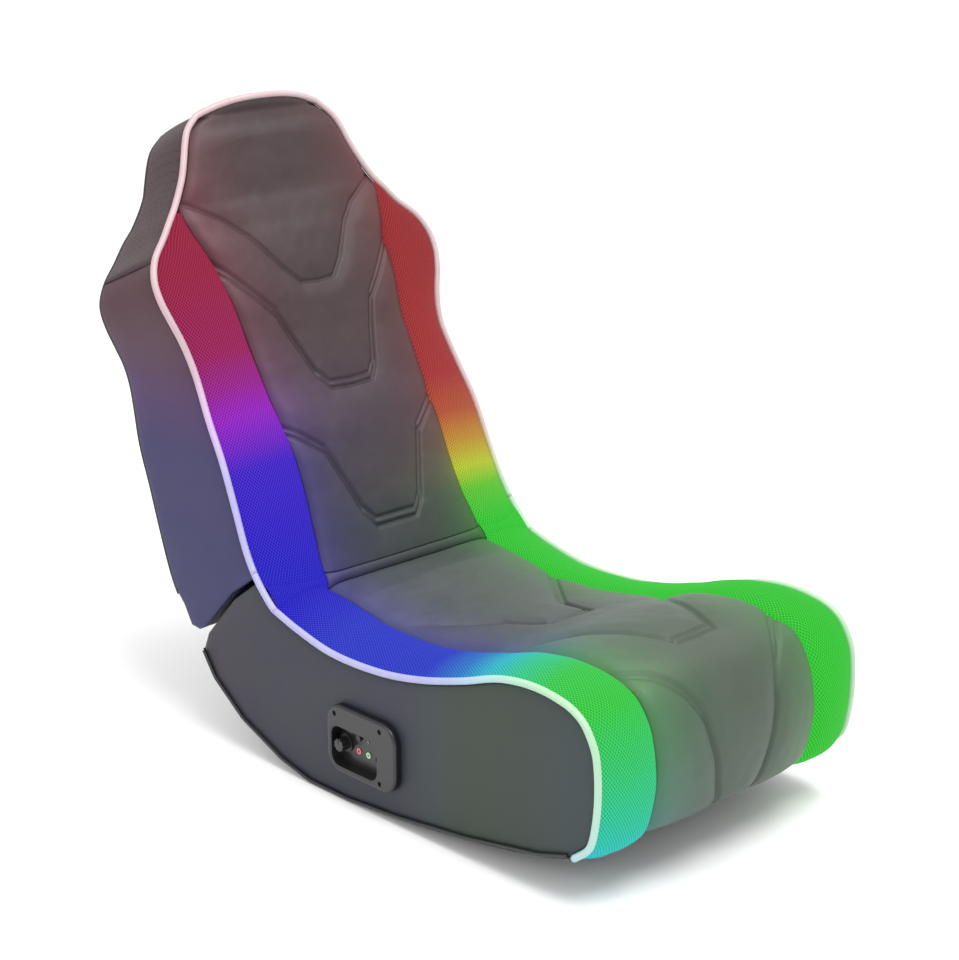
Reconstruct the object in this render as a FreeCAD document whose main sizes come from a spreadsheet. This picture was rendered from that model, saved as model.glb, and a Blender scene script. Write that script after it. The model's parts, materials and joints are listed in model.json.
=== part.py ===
import FreeCAD, Part
import Sketcher
import math
import os
from FreeCAD import Placement, Rotation, Vector

# Folding floor rocker with an upholstered base, a back that folds over the seat, mesh bolsters lit from
# inside, two speakers in the head and a control panel on the sitter's right side.
# The frame: origin in the middle of the flat of the sole, +Z up, the sitter looks towards -Y.
# Left and right are the sitter's, so the control panel is on the -X side.

doc = FreeCAD.newDocument("floor_rocker")
sheet = doc.addObject("Spreadsheet::Sheet", "sizes")

SIZES = {
    # Upholstery, across the chair
    "seat_half_width": 229.0,
    "seat_seam_half_width": 145.0,
    "piping_radius": 4.5,
    "welt_radius": 2.3,
    "side_stand": 3.0,
    "side_cover_thickness": 8.0,
    "cover_drop": 6.5,
    "piping_drop": 1.5,
    "rear_cover_thickness": 3.0,
    "seat_foam_depth": 38.0,
    "back_foam_depth": 30.0,
    "seat_crown": 11.0,
    "back_crown": 9.0,
    "mesh_bulge": 7.0,
    "channel_depth": 4.0,
    "channel_width": 9.0,
    "channel_pitch": 10.0,
    "section_step": 45.0,
    "soft_gap": 0.5,
    # Boards of the base
    "side_board_thickness": 12.0,
    "seat_board_thickness": 10.0,
    "front_board_thickness": 12.0,
    "sole_board_thickness": 9.0,
    "sole_cover_thickness": 2.0,
    "cross_rail_width": 40.0,
    "cross_rail_depth": 18.0,
    "cross_rail_front_y": -300.0,
    "cross_rail_rear_y": 40.0,
    "cross_rail_z": 120.0,
    "hinge_rail_y": 112.5,
    "hinge_rail_top": 232.0,
    "hinge_rail_bottom": 176.0,
    "hinge_rail_thickness": 24.0,
    "joint_gap": 0.3,
    # Boards of the back
    "back_rail_inner": 185.0,
    "back_rail_thickness": 12.0,
    "back_board_thickness": 9.0,
    "back_cross_width": 44.0,
    "back_cross_thickness": 18.0,
    "back_cross_low_y": 190.0,
    "head_rail_inner": 96.0,
    "head_rail_thickness": 12.0,
    "arch_rise": 19.0,
    "arch_forward": 10.0,
    "back_depth_lean": 67.0,
    # Fold hinge
    "hinge_y": 108.0,
    "hinge_z": 240.0,
    "hinge_x": 90.0,
    "hinge_length": 56.0,
    "hinge_knuckle_radius": 4.0,
    "hinge_pin_radius": 2.0,
    "hinge_pin_clearance": 0.05,
    "hinge_leaf_thickness": 2.0,
    "hinge_screw_radius": 2.0,
    "hinge_screw_pitch": 32.0,
    # Lights
    "led_width": 10.0,
    "led_thickness": 3.0,
    # Speakers
    "speaker_y": 438.0,
    "speaker_z": 716.0,
    "speaker_radius": 24.0,
    "speaker_depth": 24.0,
    "speaker_magnet_radius": 15.0,
    "speaker_flange": 2.0,
    "speaker_rim": 3.0,
    "speaker_cone_gap": 0.3,
    # Control panel
    "panel_y": -74.5,
    "panel_z": 88.0,
    "bezel_length": 129.0,
    "bezel_height": 92.0,
    "bezel_proud": 12.0,
    "bezel_corner": 26.0,
    "bezel_edge": 4.0,
    "dish_y": -62.0,
    "dish_z": 78.0,
    "dish_length": 90.0,
    "dish_height": 58.0,
    "dish_corner": 16.0,
    "dish_wall": 2.0,
    "dish_gap": 0.2,
    "dish_depth": 5.0,
    "panel_screw_radius": 3.4,
    "panel_screw_recess": 4.0,
    "knob_y": -32.5,
    "knob_z": 79.0,
    "knob_radius": 8.5,
    "knob_length": 12.0,
    "knob_flute_radius": 1.4,
    "knob_flutes": 9.0,
    "knob_shaft_radius": 3.0,
    "knob_collar_radius": 12.0,
    "knob_collar_thickness": 2.5,
    "knob_clearance": 0.3,
    "button_y": -56.6,
    "button_z": 92.5,
    "button_radius": 4.2,
    "button_clearance": 0.15,
    "led_y": -73.5,
    "led_z": 92.0,
    "led_radius": 1.5,
    "mic_y": -55.6,
    "mic_z": 74.0,
    "phones_y": -73.6,
    "phones_z": 74.0,
    "jack_radius": 4.0,
    "jack_bore_radius": 1.8,
    "jack_bore_length": 14.0,
    "power_y": -89.5,
    "power_z": 72.5,
    "power_radius": 4.0,
    "power_bore_radius": 2.8,
    "power_pin_radius": 1.0,
    "box_length": 82.0,
    "box_height": 50.0,
    "box_depth": 46.0,
    "box_wall": 2.5,
    "circuit_thickness": 1.6,
}

# Stations of the piping line in the side view, from the front hem to the crease: name, Y, Z, lean of the
# outward normal from upright in degrees, and how far the seam stands out over the piping.
SEAT_STATIONS = (
    ("hem", -432, 64, 128, 4),
    ("foot", -455, 84, 114, 8),
    ("shin", -463, 106, 101, 11),
    ("middle", -468, 150, 90, 13),
    ("calf", -465, 198, 78, 9),
    ("underknee", -456, 221, 60, 8),
    ("knee", -441, 240, 40, 7),
    ("roll", -416, 252, 20, 6),
    ("thigh", -366, 258, 2, 5),
    ("slope", -310, 251, -14, 6),
    ("fall", -246, 229, -17, 9),
    ("lap", -172, 208, -12, 12),
    ("dip", -98, 196, -5, 16),
    ("rump", -10, 195, 3, 21),
    ("rise", 57, 208, 12, 19),
    ("crease", 101, 221, 13, 11),
)

# The same for the back, from the crease to the top of the head, with the half widths at the piping and at
# the seam, and the thickness of the back from the piping to its rear edge.
BACK_STATIONS = (
    ("crease", 128, 247, 96, 22, 229.0, 141.0, 187),
    ("root", 141, 259, 76, 24, 228.5, 139.0, 187),
    ("hip", 160, 288, 64, 27, 227.0, 134.0, 186),
    ("loin", 185, 341, 61, 28, 224.0, 130.0, 185),
    ("lumbar", 210, 395, 61, 28, 222.0, 131.0, 181),
    ("middle", 240, 443, 60, 26, 218.5, 134.0, 174),
    ("waist", 267, 491, 62, 25, 214.5, 136.0, 162),
    ("ribs", 278, 516, 65, 23, 216.5, 137.0, 154),
    ("chest", 287, 542, 67, 21, 222.5, 139.5, 148),
    ("arm", 296, 569, 67, 19, 232.0, 143.0, 145),
    ("shoulder", 307, 594, 66, 17, 238.5, 147.0, 143),
    ("yoke", 320, 618, 64, 16, 237.5, 151.0, 141),
    ("collar", 333, 641, 63, 15, 225.5, 158.0, 133),
    ("nape", 346, 662, 65, 13, 202.0, 164.0, 128),
    ("neck", 355, 684, 67, 9, 183.0, 168.5, 122),
    ("tip", 362, 700, 68, 6, 169.0, 166.0, 111),
    ("ear", 372, 731, 69, 5, 149.5, 148.5, 101),
    ("temple", 379, 751, 69, 5, 140.0, 139.0, 101),
    ("brow", 388, 777, 69, 5, 129.5, 128.5, 98),
    ("peak", 395, 792, 69, 4, 119.5, 118.5, 94),
    ("crown", 400, 806, 69, 4, 102.5, 101.5, 88),
)

# Underside of the base in the side view, from the front hem to the rear corner. The flat is what it rests on.
SOLE_FRONT = (("hem", -436, 66), ("toe", -375, 47), ("arch", -254, 24), ("ball", -133, 8), ("flat", -38, 0))
SOLE_REAR = (("flat", 38, 0), ("heel", 94, 12), ("turn", 175, 44), ("kick", 234, 86), ("corner", 260, 122))
# Rear slope of the base under the back, from the rear corner to the crease
SLOPE = (("corner", 248, 147), ("slope", 188, 212), ("shoulder", 140, 247), ("lip", 133, 242))
# Rear cover of the base between the sides, from the hinge rail to the rear corner
REAR = (("top", 138, 233), ("shoulder", 160, 229), ("slope", 188, 209), ("corner", 247.5, 147), ("end", 256, 128))
# Lower edge of the back over that slope, from the crease to its rear corner
HEEL = (("lip", 131, 251), ("shoulder", 143, 254), ("slope", 193, 219), ("corner", 255, 154), ("rear", 268, 147))

# Screws of the control panel; the dish takes the fourth corner
PANEL_SCREWS = (("rear", -26, 121), ("front", -111, 122), ("low", -110, 52))

# Fractions of the half width at which a channel line has its corners, and those at which a section has points
CORNERS = (0.0, 0.25, 0.36, 0.60, 0.80, 1.0)
PLACES = (0.0, 0.25, 0.285, 0.32, 0.36, 0.48, 0.60, 0.80, 1.0)
# Channel lines by the distance along the piping line at those corners
SEAT_CHANNELS = (
    ("shin_channel", (12, 12, 104, 168, 192, 214)),
    ("thigh_channel", (236, 238, 276, 346, 384, 416)),
    ("lap_channel", (436, 438, 506, 548, 584, 616)),
)
BACK_CHANNELS = (
    ("lumbar_channel", (34, 34, 52, 142, 166, 188)),
    ("chest_channel", (224, 226, 244, 340, 372, 404)),
    ("head_seam", (378, 380, 404, 454, 482, 500)),
)


def put(row, name, value):
    cell = "A%d" % row
    sheet.set(cell, str(value))
    sheet.setAlias(cell, name)


def fill_sheet():
    row = 1
    for name, value in SIZES.items():
        put(row, name, value)
        row += 1
    tables = (
        ("seat", SEAT_STATIONS, ("y", "z", "lean", "proud")),
        ("back", BACK_STATIONS, ("y", "z", "lean", "proud", "half", "seam", "deep")),
        ("sole_front", SOLE_FRONT, ("y", "z")),
        ("sole_rear", SOLE_REAR, ("y", "z")),
        ("slope", SLOPE, ("y", "z")),
        ("rear", REAR, ("y", "z")),
        ("heel", HEEL, ("y", "z")),
        ("screw", PANEL_SCREWS, ("y", "z")),
    )
    for part, stations, fields in tables:
        for station in stations:
            for field, value in zip(fields, station[1:]):
                put(row, "%s_%s_%s" % (part, station[0], field), value)
                row += 1
    for part, channels in (("seat", SEAT_CHANNELS), ("back", BACK_CHANNELS)):
        for name, places in channels:
            for corner, value in enumerate(places):
                put(row, "%s_%s_corner%d" % (part, name, corner), value)
                row += 1
    doc.recompute()


fill_sheet()


def size(name):
    return float(sheet.get(name))


def stations(part, rows, fields):
    return [[size("%s_%s_%s" % (part, row[0], field)) for field in fields] for row in rows]


def between_corners(values, place):
    """Value at a place across the cushion, from the values at the corners."""
    for k in range(len(CORNERS) - 1):
        if place <= CORNERS[k + 1]:
            t = (place - CORNERS[k]) / (CORNERS[k + 1] - CORNERS[k])
            return values[k] + t * (values[k + 1] - values[k])
    return values[-1]


def channels(part, rows):
    """Channel lines, as the distance along the piping line at each place across."""
    lines = []
    for name, _ in rows:
        values = [size("%s_%s_corner%d" % (part, name, k)) for k in range(len(CORNERS))]
        lines.append([between_corners(values, place) for place in PLACES])
    return lines


def smooth(rows, steps):
    """Rows between the given ones on a smooth curve through them, Y and Z first."""
    gaps = [math.hypot(b[0] - a[0], b[1] - a[1]) for a, b in zip(rows, rows[1:])]
    slopes = []
    for i, row in enumerate(rows):
        low, high = max(i - 1, 0), min(i + 1, len(rows) - 1)
        span = sum(gaps[low:high])
        slopes.append([(b - a) / span for a, b in zip(rows[low], rows[high])])
    fine = []
    for i, gap in enumerate(gaps):
        for step in range(steps):
            t = step / steps
            keep, lead = 2 * t**3 - 3 * t**2 + 1, t**3 - 2 * t**2 + t
            turn, tail = 3 * t**2 - 2 * t**3, t**3 - t**2
            fine.append([
                keep * a + lead * gap * m + turn * b + tail * gap * n
                for a, b, m, n in zip(rows[i], rows[i + 1], slopes[i], slopes[i + 1])
            ])
    fine.append(list(rows[-1]))
    return fine


def along(rows):
    """Distance of each row along the curve in the side view."""
    total, places = 0.0, [0.0]
    for a, b in zip(rows, rows[1:]):
        total += math.hypot(b[0] - a[0], b[1] - a[1])
        places.append(total)
    return places


def at(rows, places, where):
    """Row at a distance along the curve."""
    where = min(max(where, 0.0), places[-1])
    for i in range(len(rows) - 1):
        if where <= places[i + 1]:
            t = (where - places[i]) / (places[i + 1] - places[i])
            return [a + t * (b - a) for a, b in zip(rows[i], rows[i + 1])]
    return list(rows[-1])


def out(row, distance, x=0.0):
    """Point at a distance along the outward normal of a row, at a place across the chair."""
    lean = math.radians(row[2])
    return Vector(x, row[0] - distance * math.sin(lean), row[1] + distance * math.cos(lean))


def ring(points):
    return Part.makePolygon(list(points) + [points[0]])


def skin(rings):
    return Part.makeLoft([ring(points) for points in rings], True, True)


def facet(points):
    return Part.Face(ring(points))


def panelled(rings):
    """Soft form through rings, its strips laid in flat facets on their shorter diagonals."""
    facets = [facet(rings[0]), facet(rings[-1])]
    for low, high in zip(rings, rings[1:]):
        for k in range(len(low)):
            a, b, c, d = low[k - 1], low[k], high[k], high[k - 1]
            if abs((b - a).cross(d - a).dot(c - a)) < 1e-7:
                facets.append(facet([a, b, c, d]))
            elif (c - a).Length < (d - b).Length:
                facets += [facet([a, b, c]), facet([a, c, d])]
            else:
                facets += [facet([a, b, d]), facet([b, c, d])]
    shape = Part.makeSolid(Part.makeShell(facets))
    return shape if shape.Volume > 0 else shape.reversed()


def mirror(shape):
    return shape.mirror(Vector(0, 0, 0), Vector(1, 0, 0))


seat_rows = smooth(stations("seat", SEAT_STATIONS, ("y", "z", "lean", "proud")), 2)
back_fields = ("y", "z", "lean", "proud", "half", "seam", "deep")
back_rows = smooth(stations("back", BACK_STATIONS, back_fields), 2)
sole_front = smooth(stations("sole_front", SOLE_FRONT, ("y", "z")), 3)
sole_rear = smooth(stations("sole_rear", SOLE_REAR, ("y", "z")), 3)
slope = stations("slope", SLOPE, ("y", "z"))
heel = stations("heel", HEEL, ("y", "z"))
sole_line = sole_front + sole_rear

HALF, SEAM, DEEP, INSET = 4, 5, 6, 7


def add_insets(rows):
    """Distance from the piping to the inside of the side cover, wider where the outline runs inwards."""
    depth = size("side_cover_thickness") - size("side_stand") + 2.5 * size("soft_gap")
    for i, row in enumerate(rows):
        a, b = rows[max(i - 1, 0)], rows[min(i + 1, len(rows) - 1)]
        rise = math.hypot(b[0] - a[0], b[1] - a[1])
        row.append(depth * math.hypot(1.0, (b[HALF] - a[HALF]) / rise))


add_insets(back_rows)
half = size("seat_half_width")
seam = size("seat_seam_half_width")
cover = size("side_cover_thickness")
gap = size("joint_gap")
soft = size("soft_gap")
made = []


def solid(label, shape):
    """A sub-part whose shape is set directly."""
    item = doc.addObject("Part::Feature", label)
    item.Label = label
    item.Shape = shape
    item.Placement = Placement()
    made.append(item)
    return item


def body(label):
    item = doc.addObject("PartDesign::Body", label)
    item.Label = label
    made.append(item)
    return item


def plane(item, role):
    return [feature for feature in item.Origin.OriginFeatures if feature.Role == role][0]


def sketch(item, name, role, lift=None):
    """Sketch on a plane of the body's own origin; lift is a formula for its height over that plane."""
    drawing = item.newObject("Sketcher::SketchObject", item.Label + "_" + name)
    drawing.AttachmentSupport = [(plane(item, role), "")]
    drawing.MapMode = "FlatFace"
    if lift:
        drawing.setExpression("AttachmentOffset.Base.z", lift)
    return drawing


def outline(drawing, points):
    """Closed outline through (Y, Z) points, joined at its corners."""
    count = len(points)
    for i, (a, b) in enumerate(zip(points, points[1:] + points[:1])):
        drawing.addGeometry(Part.LineSegment(Vector(a[0], a[1], 0), Vector(b[0], b[1], 0)), False)
    for i in range(count):
        drawing.addConstraint(Sketcher.Constraint("Coincident", i, 2, (i + 1) % count, 1))


def pad(item, drawing, length, back_to_front=False):
    feature = item.newObject("PartDesign::Pad", drawing.Label + "_pad")
    feature.Profile = drawing
    feature.Reversed = back_to_front
    feature.setExpression("Length", length)
    drawing.Visibility = False
    return feature


def pocket(item, drawing, length):
    feature = item.newObject("PartDesign::Pocket", drawing.Label + "_pocket")
    feature.Profile = drawing
    feature.setExpression("Length", length)
    return feature


def circle(drawing, radius):
    """Circle about the sketch's origin."""
    index = drawing.addGeometry(Part.Circle(Vector(0, 0, 0), Vector(0, 0, 1), 1.0), False)
    drawing.addConstraint(Sketcher.Constraint("Coincident", index, 3, -1, 1))
    drawing.addConstraint(Sketcher.Constraint("Radius", index, 1.0))
    drawing.setExpression("Constraints[%d]" % (drawing.ConstraintCount - 1), radius)


def rectangle(drawing, length, height):
    """Rectangle about the sketch's origin."""
    corners = [Vector(-9, -7, 0), Vector(9, -7, 0), Vector(9, 7, 0), Vector(-9, 7, 0)]
    for a, b in zip(corners, corners[1:] + corners[:1]):
        drawing.addGeometry(Part.LineSegment(a, b), False)
    for side in range(4):
        drawing.addConstraint(Sketcher.Constraint("Coincident", side, 2, (side + 1) % 4, 1))
    for side, way in enumerate(("Horizontal", "Vertical", "Horizontal", "Vertical")):
        drawing.addConstraint(Sketcher.Constraint(way, side))
    drawing.addConstraint(Sketcher.Constraint("Symmetric", 0, 1, 2, 1, -1, 1))
    drawing.addConstraint(Sketcher.Constraint("DistanceX", 0, 1, 0, 2, 18.0))
    drawing.setExpression("Constraints[%d]" % (drawing.ConstraintCount - 1), length)
    drawing.addConstraint(Sketcher.Constraint("DistanceY", 1, 1, 1, 2, 14.0))
    drawing.setExpression("Constraints[%d]" % (drawing.ConstraintCount - 1), height)


def rounded(drawing, length, height, corner):
    """Rectangle with rounded corners about the sketch's origin."""
    spots = ((-20, -15), (20, -15), (20, 15), (-20, 15))
    for k, (x, y) in enumerate(spots):
        a, b = spots[k], spots[(k + 1) % 4]
        way = Vector(b[0] - a[0], b[1] - a[1], 0).normalize()
        side = Vector(way.y, -way.x, 0) * 5
        start, end = Vector(a[0], a[1], 0) + side, Vector(b[0], b[1], 0) + side
        drawing.addGeometry(Part.LineSegment(start, end), False)
    for k, (x, y) in enumerate(spots):
        start = math.radians(180 + 90 * k)
        rim = Part.Circle(Vector(x, y, 0), Vector(0, 0, 1), 5)
        drawing.addGeometry(Part.ArcOfCircle(rim, start, start + math.pi / 2), False)
    for k in range(4):
        drawing.addConstraint(Sketcher.Constraint("Tangent", 4 + k, 2, k, 1))
        drawing.addConstraint(Sketcher.Constraint("Tangent", k, 2, 4 + (k + 1) % 4, 1))
    for k in range(1, 4):
        drawing.addConstraint(Sketcher.Constraint("Equal", 4, 4 + k))
    for k, way in enumerate(("Horizontal", "Vertical", "Horizontal", "Vertical")):
        drawing.addConstraint(Sketcher.Constraint(way, k))
    drawing.addConstraint(Sketcher.Constraint("Symmetric", 4, 3, 6, 3, -1, 1))
    drawing.addConstraint(Sketcher.Constraint("Radius", 4, 5.0))
    drawing.setExpression("Constraints[%d]" % (drawing.ConstraintCount - 1), corner)
    drawing.addConstraint(Sketcher.Constraint("DistanceX", 4, 3, 5, 3, 40.0))
    drawing.setExpression("Constraints[%d]" % (drawing.ConstraintCount - 1), "%s - 2 * (%s)" % (length, corner))
    drawing.addConstraint(Sketcher.Constraint("DistanceY", 5, 3, 6, 3, 30.0))
    drawing.setExpression("Constraints[%d]" % (drawing.ConstraintCount - 1), "%s - 2 * (%s)" % (height, corner))


def centred(item, name, lift, across, up):
    """Sketch across the chair's X axis with its origin at a place in the side view."""
    drawing = sketch(item, name, "YZ_Plane", lift)
    drawing.setExpression("AttachmentOffset.Base.x", across)
    drawing.setExpression("AttachmentOffset.Base.y", up)
    return drawing


def plate(label, points, lift, thickness):
    """Board cut from sheet, standing across the chair's X axis."""
    item = body(label)
    drawing = sketch(item, "outline", "YZ_Plane", lift)
    outline(drawing, points)
    pad(item, drawing, thickness)
    return item


def sides(name):
    """The two sides of the chair, as the sitter's left and right, with the sign of X."""
    return ((name + "_left", 1), (name + "_right", -1))


# Soft forms. A section lies across the chair and is lofted along the piping line.

def bolster_ring(row, half_width, seam_at, depth, inset):
    """Section of a mesh bolster: a bulging face from the seam down to the piping, over a light strip."""
    inner = seam_at + soft
    outer = half_width - piping_inset
    foot = half_width - inset
    shelf = max(foot - led_shelf, inner + soft)
    bulge = size("mesh_bulge") * min(1.0, (outer - inner) / 60.0)
    face = [(inner, row[3] - 1.5)]
    for t in (0.2, 0.45, 0.7, 0.9):
        face.append((inner + t * (outer - inner), row[3] * (1 - t) + bulge * 4 * t * (1 - t)))
    step = 2 * soft - cover_drop
    face += [(outer, 0.0), (outer, step), (foot, step), (foot, led_lift - depth)]
    face += [(shelf, led_lift - depth), (shelf, -depth), (inner, -depth)]
    return [out(row, distance, x) for x, distance in face]


def cushion_face(rows, places, line, drop, crown, foot_of, depth):
    """Section of a centre cushion along a bent channel line."""
    top = []
    for corner, where in zip(PLACES, line):
        row = at(rows, places, where)
        width = (row[SEAM] if len(row) > SEAM else seam) - 2 * soft
        ends = min(1.0, where / 60.0 + 0.25, (places[-1] - where) / 60.0 + 0.05)
        puff = crown * ends * (1 - corner**2) ** 0.7
        top.append((out(row, row[3] + puff - drop - (2.0 if corner == 1.0 else 0.0), 0.0), corner * width))
    edge = at(rows, places, line[-1])
    before, after = at(rows, places, line[-1] - 25.0), at(rows, places, line[-1] + 25.0)
    turn = math.atan2(edge[1] - before[1], edge[0] - before[0])
    turn -= math.atan2(after[1] - edge[1], after[0] - edge[0])
    bend = max(0.0, turn / 25.0, math.radians(before[2] - after[2]) / 50.0)
    lift = bend * size("section_step")**2 / 8 + soft - depth
    side = top[-1][1]
    foot = min(foot_of(edge) - 2 * soft, side - soft)
    ring_points = [Vector(-x, p.y, p.z) for p, x in reversed(top)]
    ring_points += [Vector(x, p.y, p.z) for p, x in top[1:]]
    step = 3 * soft - cover_drop
    below = [out(edge, step, side), out(edge, step, foot), out(edge, lift, foot)]
    ring_points += below + [Vector(-p.x, p.y, p.z) for p in reversed(below)]
    return ring_points


def blend_lines(a, b, count):
    """Lines between two channel lines."""
    steps = [(k + 1) / (count + 1) for k in range(count)]
    return [[p + t * (q - p) for p, q in zip(a, b)] for t in steps]


def cushion(rows, lines, double, crown, foot_of, depth):
    """Centre cushion with its sewn channels; each line is one or two grooves across the panel."""
    places = along(rows)
    total = places[-1]
    width, pitch, deep = size("channel_width"), size("channel_pitch"), size("channel_depth")
    start, end = [0.0] * len(PLACES), [total] * len(PLACES)
    sections = [(start, 0.0)]
    last = start
    for number, line in enumerate(list(lines) + [None]):
        goal = end if line is None else [where - width / 2 for where in line]
        span = max(b - a for a, b in zip(last, goal))
        for between in blend_lines(last, goal, int(span / size("section_step"))):
            sections.append((between, 0.0))
        if line is None:
            break
        grooves = 2 if double[number] else 1
        for groove in range(grooves):
            shift = groove * pitch
            sections.append(([where + shift - width / 2 for where in line], 0.0 if groove == 0 else 0.6))
            sections.append(([where + shift for where in line], deep))
        last = [where + (grooves - 1) * pitch + width / 2 for where in line]
        sections.append((last, 0.0))
    sections.append((end, 0.0))
    return panelled([
        cushion_face(rows, places, line, drop, crown, foot_of, depth) for line, drop in sections])


side_stand = size("side_stand")
side_inset = cover - side_stand + soft
cover_drop = size("cover_drop")
piping_inset = size("piping_radius") - side_stand - soft + 0.5
led_shelf = size("led_width") + 2.0
led_lift = size("led_thickness") + 2 * gap
seat_depth = size("seat_foam_depth")
back_depth = size("back_foam_depth")

shape = cushion(seat_rows, channels("seat", SEAT_CHANNELS), (True, True, True), size("seat_crown"),
                lambda row: seam, seat_depth)
solid("seat_cushion", shape)


# The outline of the back: up the left side, over the head and down the right side. Each place has the point
# at the edge of the upholstery, the direction inwards and the depth of the back there.
depth_lean = math.radians(size("back_depth_lean"))
rearward = Vector(0, math.sin(depth_lean), -math.cos(depth_lean))
arch_rise = size("arch_rise")
arch_forward = size("arch_forward")


def arch_rows(shares):
    """Rows over the top of the head, at shares of its half width."""
    last = back_rows[-1]
    rows = []
    for share in shares:
        row = list(last)
        row[HALF] = last[HALF] * share
        row[0] = last[0] - arch_forward * (1 - share**2)
        row[1] = last[1] + arch_rise * (1 - share**2.4)
        rows.append(row)
    return rows


def head_limit(row):
    return min(row[SEAM], row[HALF] - row[INSET])


def arch_block(inset):
    """Block over the top of the head beyond the inset outline, to trim what lies under it."""
    edge = [Vector(row[HALF], row[0], row[1] - inset) for row in arch_rows((1.0, 0.93, 0.8, 0.6, 0.4, 0.2, 0.0))]
    edge += [Vector(-p.x, p.y, p.z) for p in reversed(edge[:-1])]
    low, high = edge[0], edge[len(edge) // 2]
    edge = [Vector(300, low.y, low.z)] + edge + [Vector(-300, low.y, low.z)]
    edge += [Vector(-300, high.y, high.z + 90), Vector(300, high.y, high.z + 90)]
    flat = [Vector(p.x, 380, p.z + (p.y - 380) * rearward.z / -rearward.y) for p in edge]
    reach = rearward * 400
    return Part.Face(ring([p - reach * 0.5 for p in flat])).extrude(reach)


high_rows = [list(row) for row in back_rows]
high_rows.append([a + 1.5 * (b - a) for a, b in zip(back_rows[-3], back_rows[-1])])
shape = cushion(high_rows, channels("back", BACK_CHANNELS), (True, True, False), size("back_crown"),
                head_limit, back_depth)
solid("back_cushion", shape.cut(arch_block(side_inset + 2.0)))


def sweep_tube(points, radius, count=8):
    """Round cord through points, as rings across the path joined by straight runs."""
    rings = []
    for i, point in enumerate(points):
        ahead = points[min(i + 1, len(points) - 1)] - points[max(i - 1, 0)]
        ahead.normalize()
        across = ahead.cross(Vector(0, 1, 0.35))
        across.normalize()
        upward = across.cross(ahead)
        rings.append([
            point + across * (radius * math.cos(2 * math.pi * k / count))
            + upward * (radius * math.sin(2 * math.pi * k / count))
            for k in range(count)
        ])
    return skin(rings)


for name, sign in sides("seat_mesh"):
    shape = panelled([bolster_ring(row, half, seam, seat_depth, side_inset) for row in seat_rows])
    solid(name, shape if sign > 0 else mirror(shape))


def row_of(name):
    """Index of a station of the back among its smoothed rows."""
    return 2 * [row[0] for row in BACK_STATIONS].index(name)


for name, sign in sides("back_mesh"):
    rows = back_rows[:row_of("neck") + 1]
    shape = panelled([bolster_ring(row, row[HALF], row[SEAM], back_depth, row[INSET]) for row in rows])
    solid(name, shape if sign > 0 else mirror(shape))


def outline_places(rows):
    """Edge point, rearward and inward directions, depth of each row on the left side up to the middle."""
    points = [Vector(row[HALF], row[0], row[1]) for row in rows]
    places = []
    for i, (point, row) in enumerate(zip(points, rows)):
        ahead = points[min(i + 1, len(points) - 1)] - points[max(i - 1, 0)]
        if row[HALF] == 0.0:
            ahead = Vector(-1, 0, 0)
        inward = rearward.cross(ahead)
        inward.normalize()
        if inward.x > 0 or (row[HALF] == 0.0 and inward.z > 0):
            inward = inward * -1
        places.append((point, inward, row[DEEP]))
    return places


below = list(back_rows[0])
below[0], below[1] = below[0] - 34.0, below[1] - 60.0
outline_rows = back_rows + arch_rows((0.93, 0.8, 0.6, 0.4, 0.2, 0.0))
head_places = outline_places(outline_rows)
side_places = outline_places([below] + outline_rows)
rear_cover = size("rear_cover_thickness")


def gusset_ring(place):
    """Section of the side of the back: a strip from behind the piping to the rear edge."""
    point, inward, deep = place
    outer = point - inward * side_stand
    front = outer + rearward * cover_drop
    rear = outer + rearward * deep
    return [front, rear, rear + inward * cover, front + inward * cover]


def heel_block():
    """Block under the lower edge of the back."""
    side = 1.5 * half
    points = [Vector(-side, 0, heel[0][1] + 1)] + [Vector(-side, y, z) for y, z in heel]
    points += [Vector(-side, 400, heel[-1][1] + 8), Vector(-side, 400, -50), Vector(-side, 0, -50)]
    return Part.Face(ring(points)).extrude(Vector(2 * side, 0, 0))


for name, sign in sides("back_side_cover"):
    rings = [gusset_ring(place) for place in side_places[:row_of("collar") + 2]]
    shape = skin(rings).cut(heel_block())
    solid(name, shape if sign > 0 else mirror(shape))
for name, sign in sides("head_gusset"):
    shape = skin([gusset_ring(place) for place in head_places[row_of("collar"):]])
    solid(name, shape if sign > 0 else mirror(shape))


def rear_ring(place):
    """Section of the rear cover across the back, a little bowed."""
    point, inward, deep = place
    edge = point + inward * side_inset + rearward * deep
    bow = edge.x / 45.0
    middle = Vector(edge.x / 2, edge.y, edge.z) + rearward * bow
    face = [edge, middle, Vector(0, edge.y, edge.z) + rearward * bow * 1.4]
    face = face + [Vector(-p.x, p.y, p.z) for p in reversed(face[:2])]
    return face + [p - rearward * rear_cover for p in reversed(face)]


shape = skin([rear_ring(place) for place in side_places[:-5]]).cut(heel_block())
solid("back_rear_cover", shape)

# Piping and welts
piping = size("piping_radius")
piping_drop = size("piping_drop")
welt = size("welt_radius")
piping_side = half + side_stand + 0.5
seat_pipe = [out(row, -piping_drop, piping_side) for row in seat_rows]
seat_pipe += [Vector(piping_side, size("hinge_y") + y, size("hinge_z") + z) for y, z in ((4, -9.8), (14, -1))]
for name, sign in sides("seat_piping"):
    shape = sweep_tube(seat_pipe, piping)
    solid(name, shape if sign > 0 else mirror(shape))


def both_sides(left):
    """Path of the left side continued down the right side."""
    return left + [Vector(-p.x, p.y, p.z) for p in reversed(left[:-1])]


run = head_places[row_of("root"):]
left = [p - inward * (side_stand + 0.5) + rearward * piping_drop for p, inward, _ in run]
solid("back_piping", sweep_tube(both_sides(left), piping))
left = [p - inward * side_stand + rearward * (deep + welt + gap) for p, inward, deep in run]
solid("back_welt", sweep_tube(both_sides(left), welt, 6))


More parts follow.
